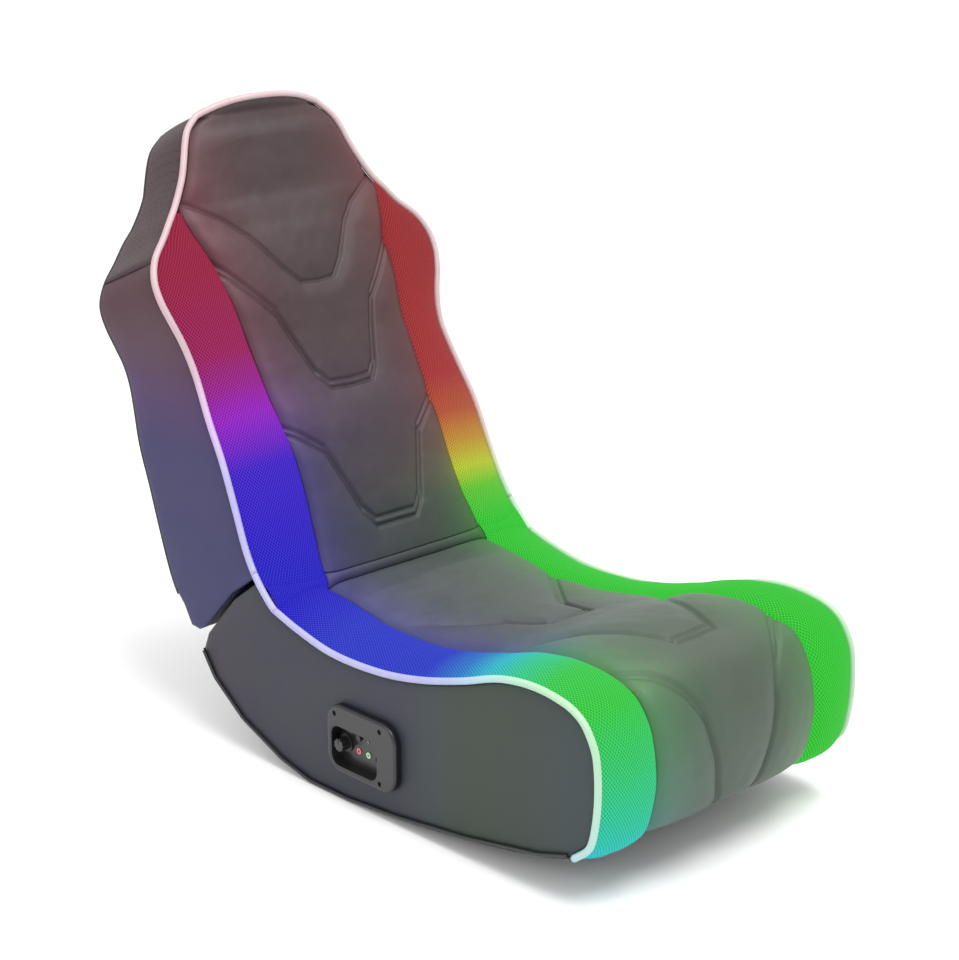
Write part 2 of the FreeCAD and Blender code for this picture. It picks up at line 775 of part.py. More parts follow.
# Boards and covers of the base, cut to the side view
def offset(points, distance):
    """Path moved to the left of its direction."""
    moved = []
    for i, point in enumerate(points):
        a, b = points[max(i - 1, 0)], points[min(i + 1, len(points) - 1)]
        run = math.hypot(b[0] - a[0], b[1] - a[1])
        moved.append((point[0] - distance * (b[1] - a[1]) / run, point[1] + distance * (b[0] - a[0]) / run))
    return moved


def between(points, low, high):
    """Part of a path between two Y values."""
    kept = []
    for a, b in zip(points, points[1:]):
        for limit in (low, high):
            if a[0] < limit < b[0]:
                t = (limit - a[0]) / (b[0] - a[0])
                kept.append((limit, a[1] + t * (b[1] - a[1])))
        if low < b[0] < high:
            kept.append(tuple(b[:2]))
    if low <= points[0][0]:
        kept.insert(0, tuple(points[0][:2]))
    return sorted(kept)


def side_view(rows, distance):
    """(Y, Z) points at a distance along the outward normal of each row."""
    return [(p.y, p.z) for p in (out(row, distance) for row in rows)]


def seat_row(name):
    """Index of a station of the seat among its smoothed rows."""
    return 2 * [row[0] for row in SEAT_STATIONS].index(name)


sole_skin = size("sole_cover_thickness")
board = size("side_board_thickness")
sole_path = [(row[0], row[1]) for row in sole_line]
slope_path = [(row[0], row[1]) for row in slope]
rear_path = stations("rear", REAR, ("y", "z"))
over_sole = offset(sole_path, sole_skin + gap)
in_rear = offset(rear_path, -rear_cover - gap)
side_cover_points = side_view(seat_rows, -cover_drop) + list(reversed(slope_path))
side_cover_points += list(reversed(between(over_sole, -424, 999)))
foam_floor = side_view(seat_rows, -seat_depth - gap)
board_floor = between(offset(sole_path, sole_skin + size("sole_board_thickness") + 2 * gap), -396, 232)
rail_y, rail_top = size("hinge_rail_y"), size("hinge_rail_top")
side_board_points = foam_floor + [(rail_y, foam_floor[-1][1]), (rail_y, rail_top)] + in_rear[1:-1]
side_board_points += list(reversed(board_floor))

for name, sign in sides("base_side_cover"):
    lift = "sizes.seat_half_width + sizes.side_stand - sizes.side_cover_thickness"
    item = plate(name, side_cover_points, lift if sign > 0 else "-(%s) - sizes.side_cover_thickness" % lift,
                 "sizes.side_cover_thickness")
    if sign < 0:
        hole = centred(item, "opening", "-(%s)" % lift, "sizes.dish_y", "sizes.dish_z")
        rounded(hole, "sizes.dish_length + 2", "sizes.dish_height + 2", "sizes.dish_corner + 1")
        pocket(item, hole, "sizes.side_cover_thickness")
for name, sign in sides("base_side_board"):
    lift = ("sizes.seat_half_width + sizes.side_stand - sizes.side_cover_thickness - sizes.soft_gap"
            " - sizes.side_board_thickness")
    item = plate(name, side_board_points, lift if sign > 0 else "-(%s) - sizes.side_board_thickness" % lift,
                 "sizes.side_board_thickness")
    if sign < 0:
        hole = centred(item, "opening", "-(%s)" % lift, "sizes.dish_y", "sizes.dish_z")
        rectangle(hole, "sizes.box_length + 2", "sizes.box_height + 2")
        pocket(item, hole, "sizes.side_board_thickness")

inside = half - side_inset - board - gap
INSIDE = ("sizes.seat_half_width + sizes.side_stand - sizes.side_cover_thickness - sizes.soft_gap"
          " - sizes.side_board_thickness - sizes.joint_gap")


def across_base(label, points, reach):
    """Board across the chair between the sides."""
    return plate(label, points, "-(%s)" % reach, "2 * (%s)" % reach)


rows = seat_rows[seat_row("roll"):]
across_base("seat_board", side_view(rows, -seat_depth - gap)
            + side_view(rows[::-1], -seat_depth - gap - size("seat_board_thickness")), INSIDE)
rows = seat_rows[seat_row("foot") + 1:seat_row("knee") + 1]
across_base("front_board", side_view(rows, -seat_depth - gap)
            + side_view(rows[::-1], -seat_depth - gap - size("front_board_thickness")), INSIDE)
COVERED = "sizes.seat_half_width + sizes.side_stand - sizes.side_cover_thickness - sizes.soft_gap"
low = between(over_sole, -415, 246)
high = between(offset(sole_path, sole_skin + size("sole_board_thickness") + gap), -415, 240)
across_base("sole_board", low + list(reversed(high)), COVERED)
low = between(sole_path, -426, 999)
high = between(offset(sole_path, sole_skin), -426, 999)
across_base("sole_cover", low + list(reversed(high)), "sizes.seat_half_width + sizes.side_stand")
across_base("base_rear_cover", rear_path + list(reversed(offset(rear_path, -rear_cover))), COVERED)
rail_y, rail_deep = size("hinge_rail_y"), size("hinge_rail_thickness")
rail_low = size("hinge_rail_bottom")
screw = size("hinge_screw_radius")
hinge_y, hinge_z, hinge_x = size("hinge_y"), size("hinge_z"), size("hinge_x")
hinge_half = size("hinge_length") / 2
leaf = size("hinge_leaf_thickness")
pitch = size("hinge_screw_pitch") / 2
screw_z = hinge_z - 26.0
screw_spots = [(side * hinge_x + way * pitch) for side in (-1, 1) for way in (-1, 1)]


def block(x0, x1, y0, y1, z0, z1):
    return Part.makeBox(x1 - x0, y1 - y0, z1 - z0, Vector(x0, y0, z0))


def group(shapes):
    return Part.makeCompound(shapes)


rail = block(-inside, inside, rail_y, rail_y + rail_deep, rail_low, rail_top)
for x in screw_spots:
    rail = rail.cut(Part.makeCylinder(screw, 14, Vector(x, rail_y, screw_z), Vector(0, 1, 0)))
solid("hinge_rail", rail)
width, deep = size("cross_rail_width"), size("cross_rail_depth")
low, high = size("cross_rail_z") - width / 2, size("cross_rail_z") + width / 2
solid("base_cross_rails", group([
    block(-inside, inside, y - deep / 2, y + deep / 2, low, high)
    for y in (size("cross_rail_front_y"), size("cross_rail_rear_y"))]))

welt_path = between(offset(sole_path, sole_skin + welt - 0.7), -421, 999)
welt_side = half + side_stand + welt + gap
for name, sign in sides("base_welt"):
    shape = sweep_tube([Vector(welt_side, y, z) for y, z in welt_path], welt, 6)
    solid(name, shape if sign > 0 else mirror(shape))


def strip_ring(row, half_width, depth, inset):
    """Section of a light strip on the board behind a mesh bolster."""
    foot = half_width - inset
    low, high = gap - depth, gap + size("led_thickness") - depth
    wide = size("led_width") + 1.0
    corners = ((foot - wide, low), (foot - 1, low), (foot - 1, high), (foot - wide, high))
    return [out(row, distance, x) for x, distance in corners]


for name, sign in sides("base_led_strip"):
    shape = skin([strip_ring(row, half, seat_depth, side_inset) for row in seat_rows[1:-1]])
    solid(name, shape if sign > 0 else mirror(shape))
for name, sign in sides("back_led_strip"):
    rows = back_rows[row_of("root"):row_of("collar") + 1]
    shape = skin([strip_ring(row, row[HALF], back_depth, row[INSET]) for row in rows])
    solid(name, shape if sign > 0 else mirror(shape))

# Boards of the back
behind = back_depth + gap
board_deep = size("back_board_thickness")
rows = back_rows[row_of("root"):row_of("peak") + 1]
board_rings = []
for row in rows:
    width = row[HALF] - row[INSET] - 1.0
    board_rings.append([out(row, -behind, -width), out(row, -behind, width),
                        out(row, -behind - board_deep, width), out(row, -behind - board_deep, -width)])
solid("back_board", skin(board_rings))


def rear_edge(rows):
    """(Y, Z) points just inside the rear cover."""
    points = []
    for row in rows:
        reach = row[DEEP] - rear_cover - gap
        points.append((row[0] + reach * rearward.y, row[1] + reach * rearward.z))
    return points


back_deep = behind + board_deep + gap
rows = back_rows[row_of("hip"):row_of("collar") + 1]
rail_points = side_view(rows, -back_deep) + rear_edge(rows[::-1])
for name, sign in sides("back_side_rail"):
    lift = "sizes.back_rail_inner"
    plate(name, rail_points, lift if sign > 0 else "-%s - sizes.back_rail_thickness" % lift,
          "sizes.back_rail_thickness")
rows = back_rows[row_of("collar"):row_of("brow") + 1]
head_points = side_view(rows, -back_deep) + rear_edge(rows[::-1])
for name, sign in sides("head_rail"):
    lift = "sizes.head_rail_inner"
    item = plate(name, head_points, lift if sign > 0 else "-%s - sizes.head_rail_thickness" % lift,
                 "sizes.head_rail_thickness")
    hole = centred(item, "opening", lift + " + sizes.head_rail_thickness" if sign > 0 else "-" + lift,
                   "sizes.speaker_y", "sizes.speaker_z")
    circle(hole, "sizes.speaker_radius - sizes.speaker_rim")
    pocket(item, hole, "sizes.head_rail_thickness")

cross_deep = size("back_cross_thickness")
cross_half = size("back_rail_inner") - gap
arm_top = hinge_z + 2 + leaf
low_y = size("back_cross_low_y")
low_rail = block(-cross_half, cross_half, low_y, low_y + size("back_cross_width"), arm_top, arm_top + cross_deep)
arm_screws = [(x, low_y + 22.0) for x in screw_spots]
for x, y in arm_screws:
    low_rail = low_rail.cut(Part.makeCylinder(screw, 12, Vector(x, y, arm_top), Vector(0, 0, 1)))
cross_rails = [low_rail]
for name in ("middle", "yoke"):
    rows = [back_rows[row_of(name) - 1], back_rows[row_of(name)], back_rows[row_of(name) + 1]]
    points = side_view(rows, -back_deep) + side_view(rows[::-1], -back_deep - cross_deep)
    face = Part.Face(ring([Vector(-cross_half, y, z) for y, z in points]))
    cross_rails.append(face.extrude(Vector(2 * cross_half, 0, 0)))
solid("back_cross_rails", group(cross_rails))
points = [(y, z + gap) for y, z in heel[2:]]
across_base("back_bottom_cover", points + list(reversed(offset(points, rear_cover))),
            COVERED.replace("seat_half_width", "back_crease_half"))

# Fold hinges
pin = size("hinge_pin_radius")
knuckle = size("hinge_knuckle_radius")
hole = pin + size("hinge_pin_clearance")
third = (2 * hinge_half - 1.0) / 3


def hinge_barrel(x0, x1):
    return Part.makeCylinder(knuckle, x1 - x0, Vector(x0, hinge_y, hinge_z), Vector(1, 0, 0))


def pin_bore(x):
    start = Vector(x - hinge_half - 1, hinge_y, hinge_z)
    return Part.makeCylinder(hole, 2 * hinge_half + 2, start, Vector(1, 0, 0))


base_leaves, back_leaves, pins = [], [], []
for x in (-hinge_x, hinge_x):
    low, high = x - hinge_half, x + hinge_half
    shape = block(low, high, rail_y - leaf, rail_y, screw_z - 14, hinge_z)
    shape = shape.cut(block(low + third, high - third, rail_y - 6, rail_y + 1, hinge_z - 5, hinge_z + 1))
    shape = shape.fuse([hinge_barrel(low, low + third), hinge_barrel(high - third, high)]).cut(pin_bore(x))
    for way in (-1, 1):
        spot = Vector(x + way * pitch, rail_y - 4, screw_z)
        shape = shape.cut(Part.makeCylinder(screw, 6, spot, Vector(0, 1, 0)))
    base_leaves.append(shape.removeSplitter())
    arm = block(low, high, hinge_y, low_y + size("back_cross_width"), arm_top - leaf, arm_top)
    for a, b in ((low - 1, low + third + 0.5), (high - third - 0.5, high + 1)):
        arm = arm.cut(block(a, b, hinge_y - 1, hinge_y + knuckle + 0.5, arm_top - leaf - 1, arm_top + 1))
    arm = arm.fuse(hinge_barrel(low + third + 0.5, high - third - 0.5)).cut(pin_bore(x))
    for way in (-1, 1):
        spot = Vector(x + way * pitch, low_y + 22.0, arm_top - leaf - 1)
        arm = arm.cut(Part.makeCylinder(screw, 6, spot, Vector(0, 0, 1)))
    back_leaves.append(arm.removeSplitter())
    pins.append(Part.makeCylinder(pin, 2 * hinge_half, Vector(low, hinge_y, hinge_z), Vector(1, 0, 0)))
solid("hinge_base_leaves", group(base_leaves))
solid("hinge_back_leaves", group(back_leaves))
solid("hinge_pins", group(pins))


def wood_screw(place, way, length):
    """Screw whose head stands on a leaf, with its shank into the wood."""
    head = Part.makeCylinder(2 * screw, 1.6, place - way * 1.6, way)
    return head.fuse(Part.makeCylinder(screw - 0.05, length, place, way)).removeSplitter()


solid("hinge_base_screws", group([
    wood_screw(Vector(x, rail_y - leaf, screw_z), Vector(0, 1, 0), leaf + 13.5) for x in screw_spots]))
solid("hinge_back_screws", group([
    wood_screw(Vector(x, y, arm_top - leaf), Vector(0, 0, 1), leaf + 11.5) for x, y in arm_screws]))

# Speakers in the sides of the head
speaker = size("speaker_radius")
magnet = size("speaker_magnet_radius")
flange = size("speaker_flange")
speaker_x = size("head_rail_inner") + size("head_rail_thickness")
throat = speaker - size("speaker_rim") - 0.5
back_of = speaker_x - size("speaker_depth")


def turned(profile):
    """Round part about the speaker's axis, from (radius, X) corners."""
    points = [Vector(x, size("speaker_y"), size("speaker_z") + radius) for radius, x in profile]
    axis = Vector(0, size("speaker_y"), size("speaker_z"))
    return Part.Face(ring(points)).revolve(axis, Vector(1, 0, 0), 360)


def octagon(x, reach):
    """Octagon across the speaker's axis."""
    y, z = size("speaker_y"), size("speaker_z")
    cut = math.tan(math.pi / 8)
    corners = ((-1, -cut), (-cut, -1), (cut, -1), (1, -cut), (1, cut), (cut, 1), (-cut, 1), (-1, cut))
    return [Vector(x, y + a * reach, z + b * reach) for a, b in corners]


cone_floor = back_of + 10.0
cone_rise = speaker_x + flange - cone_floor
frame = turned(((0, back_of), (magnet, back_of), (magnet, back_of + 9), (throat, speaker_x), (0, speaker_x)))
frame = frame.fuse(skin([octagon(speaker_x, speaker), octagon(speaker_x + flange, speaker)]))
basket = frame.cut(turned((
    (0, cone_floor), (magnet - 4, cone_floor), (throat - 2, cone_floor + cone_rise), (throat - 2, cone_floor + 30),
    (0, cone_floor + 30)))).removeSplitter()
edge = throat - 2 - size("speaker_cone_gap")
cone = turned((
    (0, cone_floor + 2.4), (magnet - 6, cone_floor + 2.4), (edge, cone_floor + cone_rise),
    (magnet - 6, cone_floor + 4.2), (0, cone_floor + 4.2)))
for name, sign in sides("speaker_basket"):
    solid(name, basket if sign > 0 else mirror(basket))
for name, sign in sides("speaker_cone"):
    solid(name, cone if sign > 0 else mirror(cone))

# Control panel on the sitter's right side
SIDE = "(sizes.seat_half_width + sizes.side_stand)"
bezel = body("control_bezel")
drawing = centred(bezel, "frame", "-%s - sizes.bezel_proud" % SIDE, "sizes.panel_y", "sizes.panel_z")
rounded(drawing, "sizes.bezel_length", "sizes.bezel_height", "sizes.bezel_corner")
feature = pad(bezel, drawing, "sizes.bezel_proud")
doc.recompute()
front = -(half + side_stand) - size("bezel_proud")
names = ["Edge%d" % n for n, edge in enumerate(feature.Shape.Edges, 1)
         if abs(edge.BoundBox.XMin - front) < 1e-6 and abs(edge.BoundBox.XMax - front) < 1e-6]
rim = bezel.newObject("PartDesign::Fillet", "control_bezel_rim")
rim.Base = (feature, names)
rim.setExpression("Radius", "sizes.bezel_edge")
drawing = centred(bezel, "opening", "-%s" % SIDE, "sizes.dish_y", "sizes.dish_z")
rounded(drawing, "sizes.dish_length + 2 * sizes.dish_gap", "sizes.dish_height + 2 * sizes.dish_gap",
        "sizes.dish_corner + sizes.dish_gap")
pocket(bezel, drawing, "sizes.bezel_proud")
recess = size("panel_screw_recess")
for name, _, _ in PANEL_SCREWS:
    drawing = centred(bezel, name + "_hole", "-%s - sizes.bezel_proud + sizes.panel_screw_recess" % SIDE,
                      "sizes.screw_%s_y" % name, "sizes.screw_%s_z" % name)
    circle(drawing, "sizes.panel_screw_radius + 0.1")
    pocket(bezel, drawing, "sizes.panel_screw_recess")
screw_heads = []
for y, z in stations("screw", PANEL_SCREWS, ("y", "z")):
    spot = Vector(front + recess, y, z)
    head = Part.makeCylinder(size("panel_screw_radius"), 2.0, spot, Vector(-1, 0, 0))
    for slot in (block(-3, 3, -2.2, 2.2, -0.4, 0.4), block(-3, 3, -0.4, 0.4, -2.2, 2.2)):
        slot.translate(spot + Vector(-4.0, 0, 0))
        head = head.cut(slot)
    screw_heads.append(head)
solid("bezel_screws", group(screw_heads))

FLOOR = "-%s + sizes.dish_depth" % SIDE
floor_x = size("dish_depth") - half - side_stand
wall = size("dish_wall")
dish = body("control_dish")
drawing = centred(dish, "pan", FLOOR, "sizes.dish_y", "sizes.dish_z")
rounded(drawing, "sizes.dish_length", "sizes.dish_height", "sizes.dish_corner")
pad(dish, drawing, "sizes.bezel_proud + sizes.dish_depth - sizes.dish_gap", True)
drawing = centred(dish, "hollow", FLOOR + " - sizes.dish_wall", "sizes.dish_y", "sizes.dish_z")
rounded(drawing, "sizes.dish_length - 2 * sizes.dish_wall", "sizes.dish_height - 2 * sizes.dish_wall",
        "sizes.dish_corner - sizes.dish_wall")
pocket(dish, drawing, "sizes.bezel_proud + sizes.side_cover_thickness")
HOLES = (
    ("knob", "sizes.knob_shaft_radius + 2.2"),
    ("button", "sizes.button_radius + sizes.button_clearance"),
    ("led", "sizes.led_radius + sizes.dish_gap"),
    ("mic", "sizes.jack_radius + sizes.dish_gap"),
    ("phones", "sizes.jack_radius + sizes.dish_gap"),
    ("power", "sizes.power_radius + sizes.dish_gap"),
)
for name, radius in HOLES:
    drawing = centred(dish, name + "_hole", FLOOR, "sizes.%s_y" % name, "sizes.%s_z" % name)
    circle(drawing, radius)
    pocket(dish, drawing, "sizes.dish_wall")


def rod(name, radius, x0, x1):
    """Round bar along the X axis at a place of the control panel."""
    place = Vector(x0, size(name + "_y"), size(name + "_z"))
    return Part.makeCylinder(radius, abs(x1 - x0), place, Vector(1 if x1 > x0 else -1, 0, 0))


dish_face = floor_x - wall
shaft = size("knob_shaft_radius")
collar = size("knob_collar_thickness")
collar_face = dish_face - collar
shape = rod("knob", size("knob_collar_radius"), dish_face, collar_face)
shape = shape.fuse([rod("knob", shaft + 2.0, dish_face + wall + 1, dish_face),
                    rod("knob", 8.0, floor_x + 0.2, floor_x + 12.0)])
shape = shape.cut(rod("knob", shaft + 0.08, collar_face - 1, floor_x + 10.0))
solid("knob_collar", shape.removeSplitter())
knob_face = collar_face - size("knob_clearance")
shape = rod("knob", size("knob_radius"), knob_face, knob_face - size("knob_length"))
for k in range(int(size("knob_flutes"))):
    turn = 2 * math.pi * k / size("knob_flutes")
    flute = Part.makeCylinder(
        size("knob_flute_radius"), size("knob_length") - 2,
        Vector(knob_face - 2, size("knob_y") + size("knob_radius") * math.cos(turn),
               size("knob_z") + size("knob_radius") * math.sin(turn)), Vector(-1, 0, 0))
    shape = shape.cut(flute)
pointer = block(-1, 2, -0.6, 0.6, 2.5, 12.0)
pointer.translate(Vector(knob_face - size("knob_length"), size("knob_y"), size("knob_z")))
shape = shape.cut(pointer).fuse(rod("knob", shaft, knob_face, floor_x + 9.0))
solid("volume_knob", shape.removeSplitter())
button = size("button_radius")
shape = rod("button", button, floor_x + 1.7, dish_face - 3.0)
shape = shape.fuse(rod("button", button + 1.6, floor_x + 0.2, floor_x + 1.7))
solid("power_button", shape.removeSplitter())
shape = rod("led", size("led_radius"), floor_x + 4, dish_face - 0.8)
shape = shape.fuse(rod("led", size("led_radius") + 1, floor_x + 0.2, floor_x + 1.2))
solid("power_led", shape.removeSplitter())
circuit = floor_x + 18.0
for label, name in (("mic_jack", "mic"), ("headphone_jack", "phones")):
    shape = rod(name, size("jack_radius"), circuit - gap, dish_face - 1.0)
    bore_end = dish_face - 1.0 + size("jack_bore_length")
    shape = shape.cut(rod(name, size("jack_bore_radius"), dish_face - 2.0, bore_end))
    solid(label, shape)
shape = rod("power", size("power_radius"), circuit - gap, dish_face - 0.6)
shape = shape.cut(rod("power", size("power_bore_radius"), dish_face - 2, dish_face + 9.0))
pin_rod = rod("power", size("power_pin_radius"), dish_face + 9.5, dish_face + 1.0)
solid("dc_socket", shape.fuse(pin_rod).removeSplitter())
thin = size("box_wall")
box_y, box_z = size("dish_y"), size("dish_z")
long, tall = size("box_length") / 2, size("box_height") / 2
box_front = floor_x + gap
deep = size("box_depth")
shape = block(box_front, box_front + deep, box_y - long, box_y + long, box_z - tall, box_z + tall)
inner_y, inner_z = long - thin, tall - thin
shape = shape.cut(block(box_front - 1, box_front + deep - thin, box_y - inner_y, box_y + inner_y,
                        box_z - inner_z, box_z + inner_z))
solid("amplifier_box", shape)
solid("amplifier_board", block(circuit, circuit + size("circuit_thickness"), box_y - long + thin + 0.4,
                               box_y + long - thin - 0.4, box_z - tall + thin + 0.4, box_z + tall - thin - 0.4))


doc.recompute()
os.makedirs("parts", exist_ok=True)
for thing in doc.Objects:
    if "Invalid" in thing.State or "Error" in thing.State:
        raise RuntimeError("%s: %s" % (thing.Label, thing.State))
for item in made:
    if item.Shape.isNull() or not item.Shape.isValid():
        raise RuntimeError(item.Label + " has no valid shape")
for item in made:
    item.Shape.exportStep("parts/%s.step" % item.Label)
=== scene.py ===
"""Visual model of a folding floor rocker: quilted centre, lit mesh bolsters, piping, speakers and a side panel.

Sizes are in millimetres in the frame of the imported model, and become metres when a mesh is made. +Z is up and the
sitter looks towards -Y, so the sitter's left is +X and the control panel is on the -X side.
"""
import json
import logging
import math
from dataclasses import dataclass, field
from enum import Enum

import bmesh
import bpy
import numpy as np
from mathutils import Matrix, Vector, noise
from mathutils.geometry import delaunay_2d_cdt


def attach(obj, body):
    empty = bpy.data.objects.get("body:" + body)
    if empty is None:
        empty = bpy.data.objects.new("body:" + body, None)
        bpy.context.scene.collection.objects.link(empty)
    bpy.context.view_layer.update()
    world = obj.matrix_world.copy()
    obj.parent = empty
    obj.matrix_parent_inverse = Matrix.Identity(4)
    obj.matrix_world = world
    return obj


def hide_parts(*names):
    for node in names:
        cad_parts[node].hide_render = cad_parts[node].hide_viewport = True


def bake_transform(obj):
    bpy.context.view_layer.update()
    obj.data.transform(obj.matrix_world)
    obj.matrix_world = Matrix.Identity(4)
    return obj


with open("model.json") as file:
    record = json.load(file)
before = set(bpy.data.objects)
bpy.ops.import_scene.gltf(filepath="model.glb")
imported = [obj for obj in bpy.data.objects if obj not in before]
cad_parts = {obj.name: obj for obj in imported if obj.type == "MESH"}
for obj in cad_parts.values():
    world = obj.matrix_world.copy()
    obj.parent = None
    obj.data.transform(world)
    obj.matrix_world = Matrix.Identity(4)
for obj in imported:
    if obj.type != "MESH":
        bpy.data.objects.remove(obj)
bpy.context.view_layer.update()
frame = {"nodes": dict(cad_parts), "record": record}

log = logging.getLogger("floor_rocker")
MM = 0.001
Array = np.ndarray
Colour = tuple[float, float, float]
Piece = bpy.types.Object
Material = bpy.types.Material
Socket = bpy.types.NodeSocket
Value = Socket | float | tuple


class Side(Enum):
    """The sitter's two sides, with the sign of X."""

    LEFT = 1
    RIGHT = -1

    @property
    def word(self) -> str:
        """The side's name as the frame's nodes carry it."""
        return self.name.lower()


# The side view: piping line of the seat and of the back

# Y, Z, lean of the outward normal from upright in degrees, how far the seam stands over the piping
SEAT_LINE = (
    (-432, 64, 128, 4), (-455, 84, 114, 8), (-463, 106, 101, 11), (-468, 150, 90, 13), (-465, 198, 78, 9),
    (-456, 221, 60, 8), (-441, 240, 40, 7), (-416, 252, 20, 6), (-366, 258, 2, 5), (-310, 251, -14, 6),
    (-246, 229, -17, 9), (-172, 208, -12, 12), (-98, 196, -5, 16), (-10, 195, 3, 21), (57, 208, 12, 19),
    (101, 221, 13, 11),
)
# The same for the back, with the half width at the piping and at the seam, and the depth to the rear edge
BACK_LINE = (
    (128, 247, 96, 22, 229.0, 141.0, 187), (141, 259, 76, 24, 228.5, 139.0, 187),
    (160, 288, 64, 27, 227.0, 134.0, 186), (185, 341, 61, 28, 224.0, 130.0, 185),
    (210, 395, 61, 28, 222.0, 131.0, 181), (240, 443, 60, 26, 218.5, 134.0, 174),
    (267, 491, 62, 25, 214.5, 136.0, 162), (278, 516, 65, 23, 216.5, 137.0, 154),
    (287, 542, 67, 21, 222.5, 139.5, 148), (296, 569, 67, 19, 232.0, 143.0, 145),
    (307, 594, 66, 17, 238.5, 147.0, 143), (320, 618, 64, 16, 237.5, 151.0, 141),
    (333, 641, 63, 15, 225.5, 158.0, 133), (346, 662, 65, 13, 202.0, 164.0, 128),
    (355, 684, 67, 9, 183.0, 168.5, 122), (362, 700, 68, 6, 169.0, 166.0, 111),
    (372, 731, 69, 5, 149.5, 148.5, 101), (379, 751, 69, 5, 140.0, 139.0, 101),
    (388, 777, 69, 5, 129.5, 128.5, 98), (395, 792, 69, 4, 119.5, 118.5, 94), (400, 806, 69, 4, 102.5, 101.5, 88),
)
# Y and Z of the sole's edge, of the edge under the back and of the slope that it folds away from
SOLE_LINE = ((-424, 64.5), (-375, 49.2), (-254, 26.3), (-133, 10.3), (-38, 2.3), (38, 2.3), (93.6, 14.2),
             (174, 46.1), (232.4, 87.6), (258, 123.6))
HEEL_LINE = ((268, 147), (255, 154), (193, 219), (143, 254))
SLOPE_LINE = ((248, 147), (188, 212), (140, 247), (133, 242))
# Columns of the rows above; the seat's widths are the same all along
Y, Z, LEAN, PROUD, HALF, SEAM, DEEP = range(7)
SEAT_HALF, SEAT_SEAM = 229.0, 145.0
DEPTH_LEAN = math.radians(67.0)
REARWARD = np.array([0.0, math.sin(DEPTH_LEAN), -math.cos(DEPTH_LEAN)])
SIDE_STAND = 3.0
ARCH_RISE, ARCH_FORWARD, ARCH_POWER, ARCH_STEPS = 19.0, 10.0, 2.4, 16
STATION_STEPS = 6


def smooth(rows: Array, steps: int) -> Array:
    """Rows between the given ones, on a smooth curve through them.

    Args:
        rows: stations, with Y and Z first.
        steps: rows per gap.

    Returns:
        The finer rows, with the given ones among them.
    """
    gaps = np.hypot(*(rows[1:, :2] - rows[:-1, :2]).T)
    slopes = []
    for i in range(len(rows)):
        low, high = max(i - 1, 0), min(i + 1, len(rows) - 1)
        slopes.append((rows[high] - rows[low]) / gaps[low:high].sum())
    fine = []
    for i, gap in enumerate(gaps):
        for step in range(steps):
            t = step / steps
            keep, lead = 2 * t**3 - 3 * t**2 + 1, t**3 - 2 * t**2 + t
            turn, tail = 3 * t**2 - 2 * t**3, t**3 - t**2
            fine.append(keep * rows[i] + lead * gap * slopes[i] + turn * rows[i + 1] + tail * gap * slopes[i + 1])
    fine.append(rows[-1])
    return np.array(fine)


def run_along(points: Array) -> Array:
    """Distance from the first point along a line, at each of its points."""
    return np.concatenate([[0.0], np.cumsum(np.hypot(*np.diff(points, axis=0).T))])


class SidePath:
    """A line in the side view along which the upholstery is laid out by distance."""

    def __init__(self, stations: tuple) -> None:
        """Fine rows through the stations, and their distance along the line."""
        self.rows = smooth(np.array(stations, float), STATION_STEPS)
        self.run = run_along(self.rows[:, :2])

    @property
    def total(self) -> float:
        """Length of the line."""
        return float(self.run[-1])

    def at(self, where: Array) -> Array:
        """Rows at distances along the line.

        Args:
            where: distances of any shape.

        Returns:
            Rows, with one more axis than where.
        """
        where = np.asarray(where, float)
        return np.stack([np.interp(where, self.run, column) for column in self.rows.T], axis=-1)

    def place(self, where: Array, lift: Array, x: Array) -> Array:
        """Points at a height over the line.

        Args:
            where: distances along the line.
            lift: heights along the outward normal.
            x: places across the chair.

        Returns:
            Points, with a last axis of three.
        """
        rows = self.at(where)
        lean = np.radians(rows[..., LEAN])
        where, lift, x = np.broadcast_arrays(where, lift, x)
        return np.stack([x, rows[..., Y] - lift * np.sin(lean), rows[..., Z] + lift * np.cos(lean)], axis=-1)


SEAT = SidePath(SEAT_LINE)
BACK = SidePath(BACK_LINE)
# Upper faces of the soft pieces, as rows of points along the chair, for what joins on to them
FACES: dict[str, Array] = {}


# Meshes

def build(name: str, points: Array, faces: list, marks: dict[str, Array] | None = None) -> Piece:
    """A smooth-shaded mesh object.

    Args:
        name: the piece's name.
        points: vertices in millimetres.
        faces: lists of vertex indices.
        marks: values kept on the vertices, as one number or three each.

    Returns:
        The linked object.
    """
    mesh = bpy.data.meshes.new(name)
    mesh.from_pydata((np.asarray(points, float).reshape(-1, 3) * MM).tolist(), [], faces)
    for key, values in (marks or {}).items():
        values = np.asarray(values, np.float32)
        if values.ndim == 1:
            mesh.attributes.new(key, "FLOAT", "POINT").data.foreach_set("value", values)
        else:
            mesh.attributes.new(key, "FLOAT_VECTOR", "POINT").data.foreach_set("vector", values.ravel())
    mesh.polygons.foreach_set("use_smooth", [True] * len(mesh.polygons))
    mesh.validate()
    obj = bpy.data.objects.new(name, mesh)
    bpy.context.collection.objects.link(obj)
    return obj


def recalculate(obj: Piece) -> None:
    """Turns all faces outwards.

    Args:
        obj: the piece.
    """
    work = bmesh.new()
    work.from_mesh(obj.data)
    bmesh.ops.recalc_face_normals(work, faces=work.faces)
    work.to_mesh(obj.data)
    work.free()


